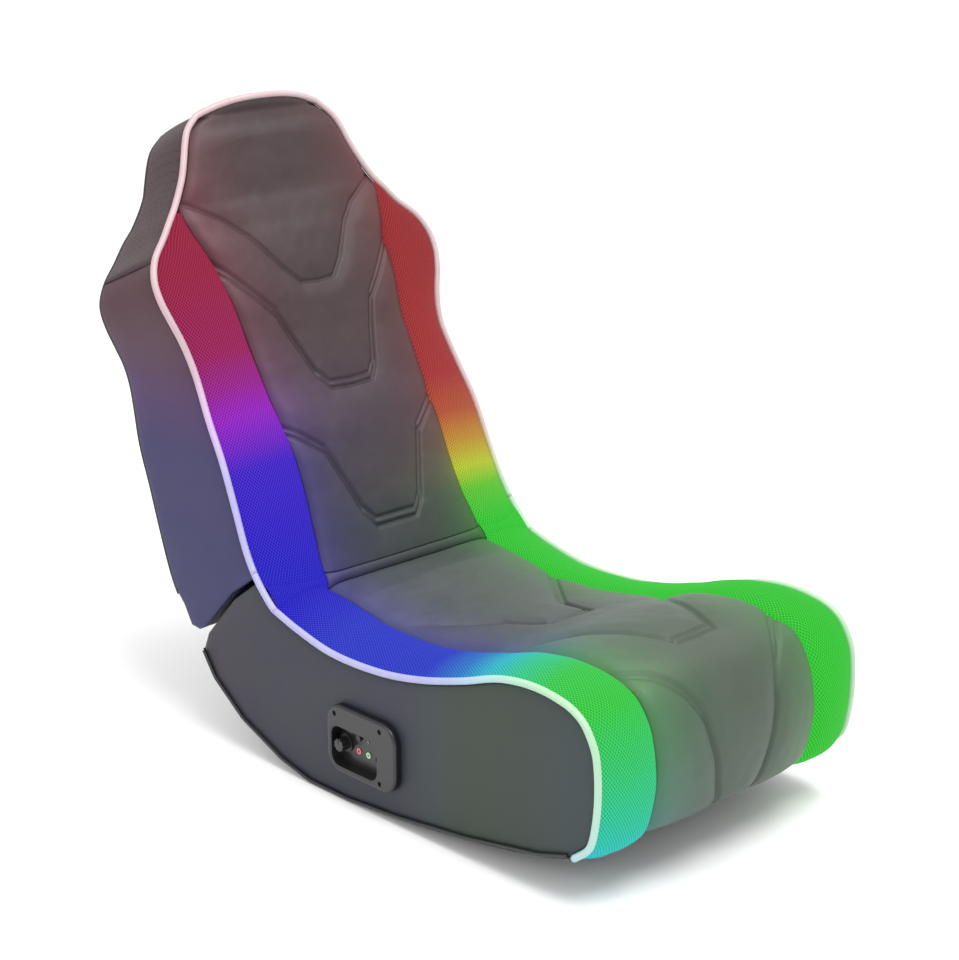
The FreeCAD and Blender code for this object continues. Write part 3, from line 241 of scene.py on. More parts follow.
def skin(name: str, rings: Array, marks: dict[str, Array] | None = None) -> Piece:
    """A closed skin through rings of points.

    Args:
        name: the piece's name.
        rings: points by ring, place in the ring and axis.
        marks: values kept on the vertices.

    Returns:
        The piece, with its faces turned outwards.
    """
    count, around = rings.shape[:2]
    faces = []
    for i in range(count - 1):
        for k in range(around):
            a, b = i * around + k, i * around + (k + 1) % around
            faces.append((a, b, b + around, a + around))
    faces.append(tuple(range(around - 1, -1, -1)))
    faces.append(tuple(range((count - 1) * around, count * around)))
    obj = build(name, rings, faces, marks)
    recalculate(obj)
    return obj


def paint(obj: Piece, material: Material) -> None:
    """Gives a piece one material in every slot.

    Args:
        obj: the piece.
        material: its finish.
    """
    slots = len(obj.material_slots)
    if not slots:
        obj.data.materials.append(material)
    for k in range(slots):
        obj.material_slots[k].material = material


def dress(obj: Piece, material: Material, slot: str, body: str, *nodes: str) -> None:
    """Paints a piece and puts it on its body in place of the frame's nodes.

    Args:
        obj: the piece.
        material: its finish.
        slot: the material slot in the record; not used.
        body: the body it moves with.
        nodes: names of the nodes it stands for.
    """
    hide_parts(*nodes)
    paint(obj, material)
    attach(obj, body)


def tube(name: str, path: Array, radius: float, around: int = 12, run: Array | None = None) -> Piece:
    """A round cord along a path.

    Args:
        name: the piece's name.
        path: points along its middle.
        radius: its radius.
        around: points round its section.
        run: distance along the upholstery of each point.

    Returns:
        The piece, with the distance along the upholstery kept on it as run.
    """
    path = np.asarray(path, float)
    ahead = np.gradient(path, axis=0)
    ahead /= np.linalg.norm(ahead, axis=1, keepdims=True)
    across = np.empty_like(path)
    carried = np.array([1.0, 0.0, 0.0])
    for i, way in enumerate(ahead):
        carried = carried - (carried @ way) * way
        carried = carried / np.linalg.norm(carried)
        across[i] = carried
    upward = np.cross(across, ahead)
    turn = np.linspace(0, 2 * math.pi, around, endpoint=False)
    rings = path[:, None] + radius * (np.cos(turn)[None, :, None] * across[:, None]
                                      + np.sin(turn)[None, :, None] * upward[:, None])
    run = np.zeros(len(path)) if run is None else run
    return skin(name, rings, {"run": np.repeat(run, around)})


def bridge(first: Array, leave: Array, arrive: Array, last: Array, count: int) -> Array:
    """Points of a cubic curve, or rows of points of a surface, between two places.

    Args:
        first: where it starts.
        leave: its first control point.
        arrive: its second control point.
        last: where it ends.
        count: number of rows.

    Returns:
        The rows.
    """
    return np.array([(1 - t) ** 3 * first + 3 * t * (1 - t) ** 2 * leave + 3 * t**2 * (1 - t) * arrive + t**3 * last
                     for t in np.linspace(0, 1, count)])


def stretch_distance(x: Array, y: Array, a: Array, b: Array) -> Array:
    """Distance of places from the straight line between two points.

    Args:
        x: first coordinates of the places.
        y: second coordinates.
        a: where the line starts.
        b: where it ends.

    Returns:
        Distances, in the shape of x and y together.
    """
    d = b - a
    t = np.clip(((x - a[0]) * d[0] + (y - a[1]) * d[1]) / max(d @ d, 1e-9), 0, 1)
    return np.hypot(x - a[0] - t * d[0], y - a[1] - t * d[1])


def wander(x: Array, y: Array, layers: tuple[tuple[float, float, float], ...]) -> Array:
    """Smooth noise over a surface.

    Args:
        x: places across.
        y: places along.
        layers: height, fineness and place in the noise of each layer.

    Returns:
        Heights, in the shape of x and y together.
    """
    x, y = np.broadcast_arrays(x, y)
    values = [sum(high * noise.noise(Vector((fine * a, fine * b, level))) for high, fine, level in layers)
              for a, b in zip(x.ravel(), y.ravel())]
    return np.array(values).reshape(x.shape)


# Quilting

@dataclass(frozen=True)
class Channel:
    """A sewn line across a centre cushion, given by the distance along the side view at fractions of its width."""

    corners: tuple[tuple[float, float], ...]
    lines: tuple[float, ...] = (0.0, 10.0)
    groove: float = 4.2
    valley: float = 3.4
    groove_width: float = 2.6
    valley_width: float = 15.0

    def depth(self, fraction: Array, where: Array, width: Array) -> Array:
        """How far the surface is drawn in at places of the cushion.

        Args:
            fraction: places across, as fractions of the half width.
            where: distances along the side view.
            width: half width there.

        Returns:
            Depths, in the shape of where.
        """
        x = np.abs(fraction) * width
        mean = float(np.mean(width))
        near = np.full(where.shape, 1e9)
        total = np.zeros(where.shape)
        for line in self.lines:
            distance = np.full(where.shape, 1e9)
            corners = np.array(self.corners) * [mean, 1] + [0, line]
            for a, b in zip(corners, corners[1:]):
                distance = np.minimum(distance, stretch_distance(x, where, a, b))
            total += self.groove * np.exp(-(distance / self.groove_width) ** 2)
            near = np.minimum(near, distance)
        return total + self.valley * np.exp(-(near / self.valley_width) ** 2)


@dataclass(frozen=True)
class Cushion:
    """A centre cushion: a crowned pad between two seams, drawn in along its channels."""

    name: str
    node: str
    body: str
    path: SidePath
    channels: tuple[Channel, ...]
    crown: float
    depth: float
    arch: float = 0.0
    along: int = 300
    across: int = 121
    crown_power: float = 0.7
    ease: float = 60.0
    edge_roll: float = 6.0
    edge_width: float = 8.0
    edge_power: float = 1.3
    end_width: float = 7.0
    wall_inset: float = 6.0
    ripple: float = 1.1
    ripple_size: float = 46.0
    fill: float = 0.8

    def half_width(self, rows: Array) -> Array:
        """Half width at the seam."""
        return rows[..., SEAM] - 0.5 if rows.shape[-1] > SEAM else np.full(rows.shape[:-1], SEAT_SEAM - 0.5)

    def make(self) -> Piece:
        """Builds the closed pad.

        Returns:
            The piece, riding on its body in place of the frame's node.
        """
        total = self.path.total
        fraction = np.linspace(-1, 1, self.across)
        share = np.linspace(0, 1, self.along)
        extra = self.arch * (1 - np.abs(fraction) ** ARCH_POWER)
        late = np.clip((share - 0.8) / 0.2, 0, 1)
        where = share[:, None] * total + late[:, None] * extra[None, :]
        rows = self.path.at(where)
        width = self.half_width(rows)
        u = np.broadcast_to(fraction, where.shape)
        end = total + np.broadcast_to(extra, where.shape)
        ends = np.minimum(1.0, np.minimum(where / self.ease + 0.25, (end - where) / self.ease + 0.05))
        lift = rows[..., PROUD] + self.crown * ends * (1 - u**2) ** self.crown_power
        for channel in self.channels:
            lift = lift - channel.depth(u, where, width)
        edge = (1 - np.abs(u)) * width
        lift -= self.edge_roll * np.exp(-(edge / self.edge_width) ** self.edge_power)
        if self.arch:
            lift -= self.edge_roll * np.exp(-((end - where) / self.end_width) ** 2)
        lift += self.ripple * wander(u * width / self.ripple_size, where / self.ripple_size,
                                     ((1.0, 1.0, 3.7), (0.4, 2.7, 9.1)))
        top = self.path.place(where, lift, u * width)
        over = np.clip(where - total, 0, None)
        top[..., 1] -= over * ARCH_FORWARD / ARCH_RISE
        top[..., 2] += over * 0.94
        FACES[self.name] = top
        edge_rows = self.path.at(share * total)
        foot = self.half_width(edge_rows)
        if edge_rows.shape[-1] > SEAM:
            foot = np.minimum(foot, edge_rows[:, HALF] - self.wall_inset)
        waist = edge_rows[:, PROUD] * 0.2 - self.depth * 0.3
        bottom = np.full(len(share), -self.depth)
        walls = [self.path.place(share * total, height, side * foot)
                 for height, side in ((waist, 1), (bottom, 1), (bottom, -1), (waist, -1))]
        rings = np.concatenate([top, np.stack(walls, 1)], axis=1)
        obj = skin(self.name, rings, {"run": np.repeat(share * total, rings.shape[1])})
        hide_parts(self.node)
        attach(obj, self.body)
        return obj


# Mesh bolsters

@dataclass(frozen=True)
class Bolster:
    """A mesh bolster between the seam and the piping, over a light strip."""

    part: str
    body: str
    path: SidePath
    side: Side
    depth: float
    stop: float
    bulge: float = 9.0
    full_width: float = 60.0
    seam_tuck: tuple[float, float] = (5.0, 6.0)
    cord_tuck: tuple[float, float] = (1.0, 4.0)
    wall: float = 5.0
    foot_inset: float = 6.0
    slack_height: float = 0.8
    slack_size: tuple[float, float] = (60.0, 34.0)
    along: int = 260
    across: int = 30

    def make(self) -> Piece:
        """Builds the closed bolster.

        Returns:
            The piece, riding on its body in place of the frame's node.
        """
        where = np.linspace(0, self.stop, self.along)
        rows = self.path.at(where)
        seat = rows.shape[1] <= SEAM
        seam = np.full(len(where), SEAT_SEAM) if seat else rows[:, SEAM]
        half = np.full(len(where), SEAT_HALF) if seat else rows[:, HALF]
        inner, outer = seam + 0.5, half - 1.5
        outer = np.maximum(outer, inner + 1.5)
        t = np.linspace(0, 1, self.across)
        x = inner[:, None] + t * (outer - inner)[:, None]
        wide = (outer - inner)[:, None]
        bulge = self.bulge * np.minimum(1.0, wide / self.full_width)
        lift = rows[:, PROUD][:, None] * (1 - t) + bulge * 4 * t * (1 - t)
        for (tuck, width), way in ((self.seam_tuck, t), (self.cord_tuck, 1 - t)):
            lift = lift - tuck * np.exp(-(way * wide / width) ** 2)
        wide, long = self.slack_size
        lift += self.slack_height * wander(x / wide + 5.0 * self.side.value, where[:, None] / long, ((1.0, 1.0, 1.3),))
        cloth = np.stack([x, np.broadcast_to(where[:, None], x.shape), 0 * x], -1)
        top = self.path.place(where[:, None], lift, x * self.side.value)
        foot = half - self.foot_inset
        walls = [(outer, -self.wall), (foot, -self.wall), (foot, -self.depth), (inner, -self.depth)]
        low = np.stack([self.path.place(where, np.full(len(where), h), w * self.side.value) for w, h in walls], 1)
        rings = np.concatenate([top, low], axis=1)
        around = rings.shape[1]
        flat = np.concatenate([cloth, np.zeros((len(where), len(walls), 3))], axis=1)
        name = "%s_mesh_%s" % (self.part, self.side.word)
        FACES[name] = top
        obj = skin(name + "_cover", rings, {"run": np.repeat(where, around), "cloth": flat.reshape(-1, 3)})
        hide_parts(name)
        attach(obj, self.body)
        return obj


# Outline of the back

class BackOutline:
    """The edge of the back: up one side, over the head and down the other."""

    def __init__(self, first: float = 0.0) -> None:
        """Fine rows from a distance along the side view, with the arch of the head added.

        Args:
            first: distance up the back at which it starts.
        """
        where = np.append(np.arange(first, BACK.total, 6.0), BACK.total)
        rows = list(BACK.at(where))
        left = np.concatenate([where, np.full(ARCH_STEPS, BACK.total)]) + SEAT.total
        self.run = np.concatenate([left, left[-2::-1]])
        last = rows[-1]
        for share in np.cos(np.linspace(0.22, math.pi / 2, ARCH_STEPS)):
            row = last.copy()
            row[HALF] = last[HALF] * share
            row[Y] -= ARCH_FORWARD * (1 - share**2)
            row[Z] += ARCH_RISE * (1 - share**ARCH_POWER)
            rows.append(row)
        self.rows = np.array(rows)
        self.points = self.rows[:, [HALF, Y, Z]]
        ahead = np.gradient(self.points, axis=0)
        ahead[-1] = (-1, 0, 0)
        inward = np.cross(REARWARD, ahead)
        inward /= np.linalg.norm(inward, axis=1, keepdims=True)
        flip = (inward[:, 0] > 1e-6) | ((np.abs(inward[:, 0]) < 1e-6) & (inward[:, 2] > 0))
        inward[flip] *= -1
        self.inward = inward

    def path(self, inset: float, rear: Array | float) -> Array:
        """Points moved inwards and to the rear.

        Args:
            inset: distance inwards.
            rear: distance to the rear, one for all or one per row.

        Returns:
            Points on the left side up to the middle of the head.
        """
        rear = np.broadcast_to(rear, len(self.rows))
        return self.points + inset * self.inward + rear[:, None] * REARWARD

    def around(self, inset: float, rear: Array | float) -> Array:
        """The same points continued down the right side."""
        left = self.path(inset, rear)
        return np.concatenate([left, (left * [-1, 1, 1])[-2::-1]])


def half_at(y: Array, z: Array) -> Array:
    """Half width of the back at places in the side view, carried to the rear.

    Args:
        y: Y of the places.
        z: Z of the places.

    Returns:
        Half widths.
    """
    up = np.array([math.cos(DEPTH_LEAN), math.sin(DEPTH_LEAN)])
    level = BACK.rows[:, Y] * up[0] + BACK.rows[:, Z] * up[1]
    return np.interp(y * up[0] + z * up[1], level, BACK.rows[:, HALF])


# Side panels

def inside(points: Array, polygon: Array) -> Array:
    """Whether each point lies in a polygon.

    Args:
        points: places in the side view.
        polygon: its corners.

    Returns:
        One truth value per point.
    """
    x, y = points[:, 0], points[:, 1]
    hit = np.zeros(len(points), bool)
    for (x0, y0), (x1, y1) in zip(polygon, np.roll(polygon, -1, axis=0)):
        crosses = (y0 > y) != (y1 > y)
        with np.errstate(divide="ignore", invalid="ignore"):
            hit ^= crosses & (x < (x1 - x0) * (y - y0) / (y1 - y0) + x0)
    return hit


def edge_distance(points: Array, polygon: Array) -> Array:
    """Distance of each point from a polygon's edge.

    Args:
        points: places in the side view.
        polygon: its corners.

    Returns:
        One distance per point.
    """
    best = np.full(len(points), 1e9)
    for a, b in zip(polygon, np.roll(polygon, -1, axis=0)):
        best = np.minimum(best, stretch_distance(points[:, 0], points[:, 1], a, b))
    return best


def even(polygon: Array, step: float) -> Array:
    """A polygon's edge as evenly spaced points.

    Args:
        polygon: its corners.
        step: greatest gap between the points.

    Returns:
        The points, in order.
    """
    closed = np.concatenate([polygon, polygon[:1]])
    points = []
    for a, b in zip(closed, closed[1:]):
        count = max(1, int(np.linalg.norm(b - a) / step))
        points += [a + (b - a) * k / count for k in range(count)]
    return np.array(points)


@dataclass(frozen=True)
class SidePanel:
    """A padded side panel, given by its outline in the side view."""

    name: str
    node: str
    body: str
    side: Side
    outline: Array
    hole: Array | None = None
    follows_back: bool = False
    thickness: float = 8.0
    puff: float = 1.6
    puff_width: float = 16.0
    roll: float = 1.8
    roll_width: float = 1.5
    rim_insets: tuple[float, ...] = (1.2, 3.4)
    step: float = 7.0

    def make(self) -> Piece:
        """Builds the closed panel.

        Returns:
            The piece, riding on its body in place of the frame's node.
        """
        edges = [even(self.outline, self.step)] + ([even(self.hole, self.step)] if self.hole is not None else [])
        outer = edges[0]
        low, high = outer.min(0), outer.max(0)
        grid = np.stack(np.meshgrid(np.arange(low[0], high[0], self.step), np.arange(low[1], high[1], self.step)), -1)
        grid = grid.reshape(-1, 2)
        for edge in edges:
            keep = inside(grid, edge) if edge is outer else ~inside(grid, edge)
            grid = grid[keep & (edge_distance(grid, edge) > self.step * 0.9)]
        rims = []
        for edge in edges:
            ahead = np.roll(edge, -1, axis=0) - np.roll(edge, 1, axis=0)
            normal = np.stack([-ahead[:, 1], ahead[:, 0]], 1) / np.linalg.norm(ahead, axis=1, keepdims=True)
            for inset in self.rim_insets:
                for way in (1, -1):
                    moved = edge + normal * inset * way
                    good = np.ones(len(moved), bool)
                    for other in edges:
                        good &= inside(moved, other) if other is outer else ~inside(moved, other)
                        good &= edge_distance(moved, other) > inset * 0.8
                    rims.append(moved[good])
        points = np.concatenate(edges + rims + [grid])
        bound, start = [], 0
        for edge in edges:
            bound += [(start + k, start + (k + 1) % len(edge)) for k in range(len(edge))]
            start += len(edge)
        verts, _, faces, *_ = delaunay_2d_cdt([Vector(p) for p in points], bound, [], 0, 1e-4)
        flat = np.array([tuple(v) for v in verts])
        middles = np.array([flat[list(f)].mean(0) for f in faces])
        keep = inside(middles, outer)
        if self.hole is not None:
            keep &= ~inside(middles, edges[1])
        faces = [tuple(f) for f, k in zip(faces, keep) if k]
        distance = np.minimum.reduce([edge_distance(flat, edge) for edge in edges])
        lift = self.puff * (1 - np.exp(-distance / self.puff_width))
        lift -= self.roll * np.exp(-distance / self.roll_width)
        base = half_at(flat[:, 0], flat[:, 1]) if self.follows_back else np.full(len(flat), SEAT_HALF)
        base = base + SIDE_STAND
        front = np.column_stack([(base + lift) * self.side.value, flat])
        rear = np.column_stack([(base - self.thickness) * self.side.value, flat])
        count = len(flat)
        every = faces + [tuple(count + i for i in reversed(f)) for f in faces]
        used: dict[tuple[int, int], None] = {}
        for face in faces:
            for a, b in zip(face, face[1:] + face[:1]):
                if (b, a) in used:
                    del used[(b, a)]
                else:
                    used[(a, b)] = None
        every += [(b, a, a + count, b + count) for a, b in used]
        obj = build(self.name, np.concatenate([front, rear]), every)
        recalculate(obj)
        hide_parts(self.node)
        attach(obj, self.body)
        return obj


def base_outline() -> Array:
    """Side view of the base's side panel."""
    top = SEAT.place(np.linspace(0, SEAT.total, 120), -6.5, 0.0)[:, 1:]
    return np.concatenate([top, np.array(SLOPE_LINE)[::-1], np.array(SOLE_LINE)[::-1]])


def dish_outline(y: float, z: float, length: float, height: float, corner: float) -> Array:
    """Rounded rectangle in the side view.

    Args:
        y: Y of its middle.
        z: Z of its middle.
        length: its size along Y.
        height: its size along Z.
        corner: radius of its corners.

    Returns:
        Points of the outline.
    """
    points = []
    for k, (a, b) in enumerate(((1, 1), (-1, 1), (-1, -1), (1, -1))):
        for turn in np.radians(np.linspace(90 * k, 90 * k + 90, 7)):
            points.append((y + a * (length / 2 - corner) + corner * math.cos(turn),
                           z + b * (height / 2 - corner) + corner * math.sin(turn)))
    return np.array(points)


def back_side_outline(collar: float) -> Array:
    """Side view of the back's side panel, up to a distance along the piping line.

    Args:
        collar: distance up the back at which the panel ends.

    Returns:
        Points of the outline.
    """
    where = np.linspace(18.0, collar, 60)
    rows = BACK.at(where)
    front = rows[:, :2] + 6.5 * REARWARD[1:]
    rear = rows[:, :2] + rows[:, DEEP][:, None] * REARWARD[1:]
    first = BACK.rows[0]
    low = first[:2] + first[DEEP] * REARWARD[1:]
    return np.concatenate([front, rear[::-1], [low], [(285, 149)], np.array(HEEL_LINE)])


# Materials

class Shader:
    """A material or node group under construction, with its nodes made in one line each."""

    def __init__(self, tree: bpy.types.NodeTree) -> None:
        """Keeps the tree, and its Principled node where it has one."""
        self.tree = tree
        self.principled = tree.nodes.get("Principled BSDF")

    @property
    def place(self) -> Socket:
        """Coordinates that stay on the piece when it moves."""
        return self.node("TexCoord").outputs["Object"]

    def fill(self, made: bpy.types.Node, inputs: dict) -> bpy.types.Node:
        """Sets a node's inputs, or links them where the value is a socket.

        Args:
            made: the node.
            inputs: sockets by name or place, with a number, a colour or another socket.

        Returns:
            The node.
        """
        for key, value in inputs.items():
            if isinstance(value, Socket):
                self.tree.links.new(value, made.inputs[key])
            else:
                made.inputs[key].default_value = value
        return made

    def node(self, kind: str, inputs: dict | None = None, **settings: object) -> bpy.types.Node:
        """Adds a node.

        Args:
            kind: the node's type without its ShaderNode prefix.
            inputs: values and sockets for fill.
            settings: the node's own properties.

        Returns:
            The node.
        """
        made = self.tree.nodes.new("ShaderNode" + kind)
        for key, value in settings.items():
            setattr(made, key, value)
        return self.fill(made, inputs or {})

    def group(self, name: str, inputs: dict) -> bpy.types.Node:
        """Places a shared node group."""
        return self.fill(self.node("Group", node_tree=bpy.data.node_groups[name]), inputs)

    def noise(self, scale: float, detail: float = 2.0, stretch: tuple | None = None) -> Socket:
        """Noise over the piece, stretched by a scale per axis where one is given."""
        place = self.node("Mapping", {"Vector": self.place, "Scale": stretch}).outputs[0] if stretch else self.place
        return self.node("TexNoise", {"Vector": place, "Scale": scale, "Detail": detail}).outputs[0]

    def vary(self, value: float, noise: Socket, spread: float) -> Socket:
        """A value that wanders with a noise by half the spread either way."""
        return self.math("MULTIPLY_ADD", noise, spread, value - spread / 2)

    def surface(self, colour: Socket, roughness: Socket | float,
                bump: tuple | None = None, **constants: float) -> None:
        """Feeds the Principled node.

        Args:
            colour: base colour.
            roughness: roughness.
            bump: height, strength and distance of its relief.
            constants: other inputs, with _ for a space.
        """
        inputs = {"Base Color": colour, "Roughness": roughness}
        inputs.update((key.replace("_", " "), value) for key, value in constants.items())
        if bump:
            height, strength, distance = bump
            made = self.node("Bump", {"Strength": strength, "Distance": distance, "Height": height})
            inputs["Normal"] = made.outputs[0]
        self.fill(self.principled, inputs)

    def math(self, operation: str, *values: Value, clamp: bool = False) -> Socket:
        """The result of a Math node on numbers or sockets."""
        return self.node("Math", dict(enumerate(values)), operation=operation, use_clamp=clamp).outputs[0]

    def mix(self, share: Value, a: Value, b: Value, blend: str = "MIX") -> Socket:
        """The colour between a and b."""
        made = self.node("Mix", {0: share, 6: a, 7: b}, data_type="RGBA", blend_type=blend)
        return made.outputs[2]

    def ramp(self, value: Value, stops: tuple) -> Socket:
        """A colour ramp through (place, colour) stops.

        Args:
            value: the place on the ramp.
            stops: place and colour of each stop.

        Returns:
            The colour's socket.
        """
        made = self.node("ValToRGB", {0: value})
        ramp = made.color_ramp
        ramp.elements[0].position, ramp.elements[0].color = stops[0]
        ramp.elements[1].position, ramp.elements[1].color = stops[-1]
        for place, colour in stops[1:-1]:
            ramp.elements.new(place).color = colour
        return made.outputs[0]


def shared_group(name: str, inputs: dict[str, tuple], outputs: dict[str, str]) -> tuple:
    """Starts a node group.

    Args:
        name: the group's name.
        inputs: sockets as name to (type, default).
        outputs: sockets as name to type.

    Returns:
        The shader helper, the group's input node and its output node.
    """
    tree = bpy.data.node_groups.new(name, "ShaderNodeTree")
    for key, (kind, default) in inputs.items():
        socket = tree.interface.new_socket(key, in_out="INPUT", socket_type="NodeSocket" + kind)
        if default is not None:
            socket.default_value = default
    for key, kind in outputs.items():
        tree.interface.new_socket(key, in_out="OUTPUT", socket_type="NodeSocket" + kind)
    shader = Shader(tree)
    return shader, shader.tree.nodes.new("NodeGroupInput"), shader.tree.nodes.new("NodeGroupOutput")


def grain_group() -> None:
    """Leather grain: a height with fine pebbles and creases, and a slow variation of roughness."""
    shader, start, end = shared_group(
        "Leather grain", {"Place": ("Vector", None), "Scale": ("Float", 900.0)},
        {"Height": "Float", "Wear": "Float"})
    place, scale = start.outputs["Place"], start.outputs["Scale"]
    cells = shader.node("TexVoronoi", {"Vector": place, "Scale": scale}, feature="DISTANCE_TO_EDGE").outputs["Distance"]
    fine = shader.node("TexNoise", {"Vector": place, "Scale": shader.math("MULTIPLY", scale, 1.7), "Detail": 2.0})
    slow = shader.node("TexNoise", {"Vector": place, "Scale": 22.0, "Detail": 4.0})
    pebbles = shader.math("MULTIPLY", shader.math("MINIMUM", cells, 0.18), 3.0)
    height = shader.math("ADD", pebbles, shader.math("MULTIPLY", fine.outputs[0], 0.35))
    shader.tree.links.new(height, end.inputs["Height"])
    shader.tree.links.new(slow.outputs[0], end.inputs["Wear"])


def glow_group() -> None:
    """Colours of the light strips along a bolster, as bounced onto what lies near them."""
    shader, start, end = shared_group(
        "Strip colours", {"Run": ("Float", 0.0), "Across": ("Float", 0.0)}, {"Color": "Color"})
    run, across = start.outputs["Run"], start.outputs["Across"]
    near = shader.ramp(run, RIGHT_COLOURS)
    far = shader.ramp(run, LEFT_COLOURS)
    side = shader.math("MULTIPLY_ADD", across, 4.0, 0.5, clamp=True)
    shader.tree.links.new(shader.mix(side, near, far), end.inputs["Color"])


def net_group() -> None:
    """Diamond mesh: a mask that is 1 on a thread and 0 in a hole."""
    shader, start, end = shared_group(
        "Diamond net", {"Place": ("Vector", None), "Pitch": ("Float", 3.4)}, {"Thread": "Float"})
    split = shader.node("SeparateXYZ", {0: start.outputs["Place"]})
    turn = shader.math("DIVIDE", 2 * math.pi, start.outputs["Pitch"])
    lines = []
    for way in (1.0, -1.0):
        slant = shader.math("ADD", shader.math("MULTIPLY", split.outputs[0], 1.3),
                            shader.math("MULTIPLY", split.outputs[1], way * 0.8))
        wave = shader.math("COSINE", shader.math("MULTIPLY", slant, turn))
        lines.append(shader.math("SMOOTH_MAX", wave, -1.0, 0.1))
    crossing = shader.math("MAXIMUM", lines[0], lines[1])
    thread = shader.node("MapRange", {0: crossing, 1: 0.35, 2: 0.8}, interpolation_type="SMOOTHSTEP").outputs[0]
    shader.tree.links.new(thread, end.inputs["Thread"])


def srgb(red: float, green: float, blue: float) -> tuple[float, float, float, float]:
    """A display colour from 0 to 255 as a linear colour."""
    return tuple(((c / 255 + 0.055) / 1.055) ** 2.4 for c in (red, green, blue)) + (1.0,)


# Colours along the strips as (share of the whole way from the hem over the crease to the head, colour)
RIGHT_COLOURS = (
    (0.00, srgb(30, 205, 215)), (0.05, srgb(40, 210, 160)), (0.09, srgb(45, 212, 118)), (0.145, srgb(50, 214, 60)),
    (0.19, srgb(55, 214, 80)), (0.225, srgb(50, 214, 150)), (0.26, srgb(45, 200, 215)), (0.30, srgb(40, 130, 215)),
    (0.345, srgb(36, 62, 210)), (0.47, srgb(40, 58, 210)), (0.545, srgb(18, 22, 208)), (0.655, srgb(62, 24, 210)),
    (0.705, srgb(156, 22, 206)), (0.735, srgb(160, 22, 150)), (0.77, srgb(162, 22, 92)), (0.85, srgb(160, 20, 62)),
    (1.00, srgb(158, 18, 50)),
)
LEFT_COLOURS = (
    (0.00, srgb(42, 208, 42)), (0.30, srgb(50, 212, 50)), (0.55, srgb(44, 210, 44)), (0.58, srgb(100, 210, 44)),
    (0.602, srgb(196, 212, 46)), (0.63, srgb(204, 150, 46)), (0.66, srgb(190, 88, 48)), (0.70, srgb(174, 50, 46)),
    (0.82, srgb(162, 42, 40)), (1.00, srgb(160, 40, 40)),
)


WHOLE_WAY = SEAT.total + BACK.total


def strip_colour(shader: Shader, start: float = 0.0, by_place: tuple | None = None) -> Socket:
    """Colour of the lights near a point.

    Args:
        shader: the material's helper.
        start: distance along the upholstery at which the piece's own run starts.
        by_place: for a piece without a run, the share of the whole way as (axis, factor, constant) of its place.

    Returns:
        The colour's socket.
    """
    place = shader.node("SeparateXYZ", {0: shader.place})
    if by_place:
        axis, factor, constant = by_place
        share = shader.math("MULTIPLY_ADD", place.outputs[axis], factor, constant, clamp=True)
    else:
        run = shader.node("Attribute", attribute_name="run").outputs["Fac"]
        share = shader.math("MULTIPLY_ADD", run, 1 / WHOLE_WAY, start / WHOLE_WAY, clamp=True)
    return shader.group("Strip colours", {"Run": share, "Across": place.outputs[0]}).outputs["Color"]


@dataclass(frozen=True)
class Finish:
    """A finish that makes its own material."""

    name: str

    def make(self) -> Material:
        """Builds the material.

        Returns:
            The material.
        """
        material = bpy.data.materials.new(self.name)
        material.use_nodes = True
        self.shade(Shader(material.node_tree))
        return material

    def shade(self, shader: Shader) -> None:
        """Adds the finish's own nodes."""
        raise NotImplementedError


@dataclass(frozen=True)
class Leatherette(Finish):
    """Matt leatherette with grain, tinted a little by the lights beside it."""

    colour: Colour
    roughness: float = 0.5
    tint: float = 0.0
    edge_tint: float = 0.0
    run_start: float = 0.0
    by_place: tuple | None = None
    hole_pitch: float = 0.0
    hole_share: float = 0.26
    grain_scale: float = 950.0

    def shade(self, shader: Shader) -> None:
        """Adds the finish's own nodes.

        Args:
            shader: the material under construction.
        """
        grain = shader.group("Leather grain", {"Place": shader.place, "Scale": self.grain_scale})
        worn = tuple(min(1.0, c * 1.35 + 0.006) for c in self.colour)
        colour = shader.mix(grain.outputs["Wear"], (*self.colour, 1), (*worn, 1))
        if self.tint:
            light = strip_colour(shader, self.run_start, self.by_place)
            across = shader.math("ABSOLUTE", shader.node("SeparateXYZ", {0: shader.place}).outputs[0])
            edge = shader.math("POWER", shader.math("MULTIPLY", across, 6.9, clamp=True), 2.6)
            colour = shader.mix(shader.math("MULTIPLY_ADD", edge, self.edge_tint, self.tint), colour, light)
        height = grain.outputs["Height"]
        # Perforations: each hole is painted near black as the shade inside it, and dips in the bump.
        if self.hole_pitch:
            dots = {"Vector": shader.place, "Scale": 1000 / self.hole_pitch, "Randomness": 0.0}
            hole = shader.math("LESS_THAN", shader.node("TexVoronoi", dots).outputs["Distance"], self.hole_share)
            colour = shader.mix(hole, colour, (0.002, 0.002, 0.002, 1))
            height = shader.math("SUBTRACT", height, shader.math("MULTIPLY", hole, 2.0))
        rough = shader.vary(self.roughness, grain.outputs["Wear"], 0.22)
        shader.surface(colour, rough, (height, 0.25, 0.0004), Specular_IOR_Level=0.34)


@dataclass(frozen=True)
class LitMesh(Finish):
    """Diamond mesh with the strips' light coming through its holes."""

    run_start: float
    strength: float = 0.95
    pitch: float = 4.6

    def shade(self, shader: Shader) -> None:
        """Adds the finish's own nodes.

        Args:
            shader: the material under construction.
        """
        light = strip_colour(shader, self.run_start)
        cloth = shader.node("Attribute", attribute_name="cloth").outputs["Vector"]
        thread = shader.group("Diamond net", {"Place": cloth, "Pitch": self.pitch}).outputs["Thread"]
        dim, body = (shader.mix(1.0, light, (part, part, part, 1), "MULTIPLY") for part in (0.55, 0.05))
        pale = shader.mix(0.06, light, (0.8, 0.6, 0.85, 1))
        cloudy = shader.math("MULTIPLY", shader.noise(9.0), 0.35)
        shader.surface(body, 0.75, (thread, 0.5, 0.0005), Specular_IOR_Level=0.06, Emission_Strength=self.strength,
                       Emission_Color=shader.mix(cloudy, shader.mix(thread, dim, pale), light))


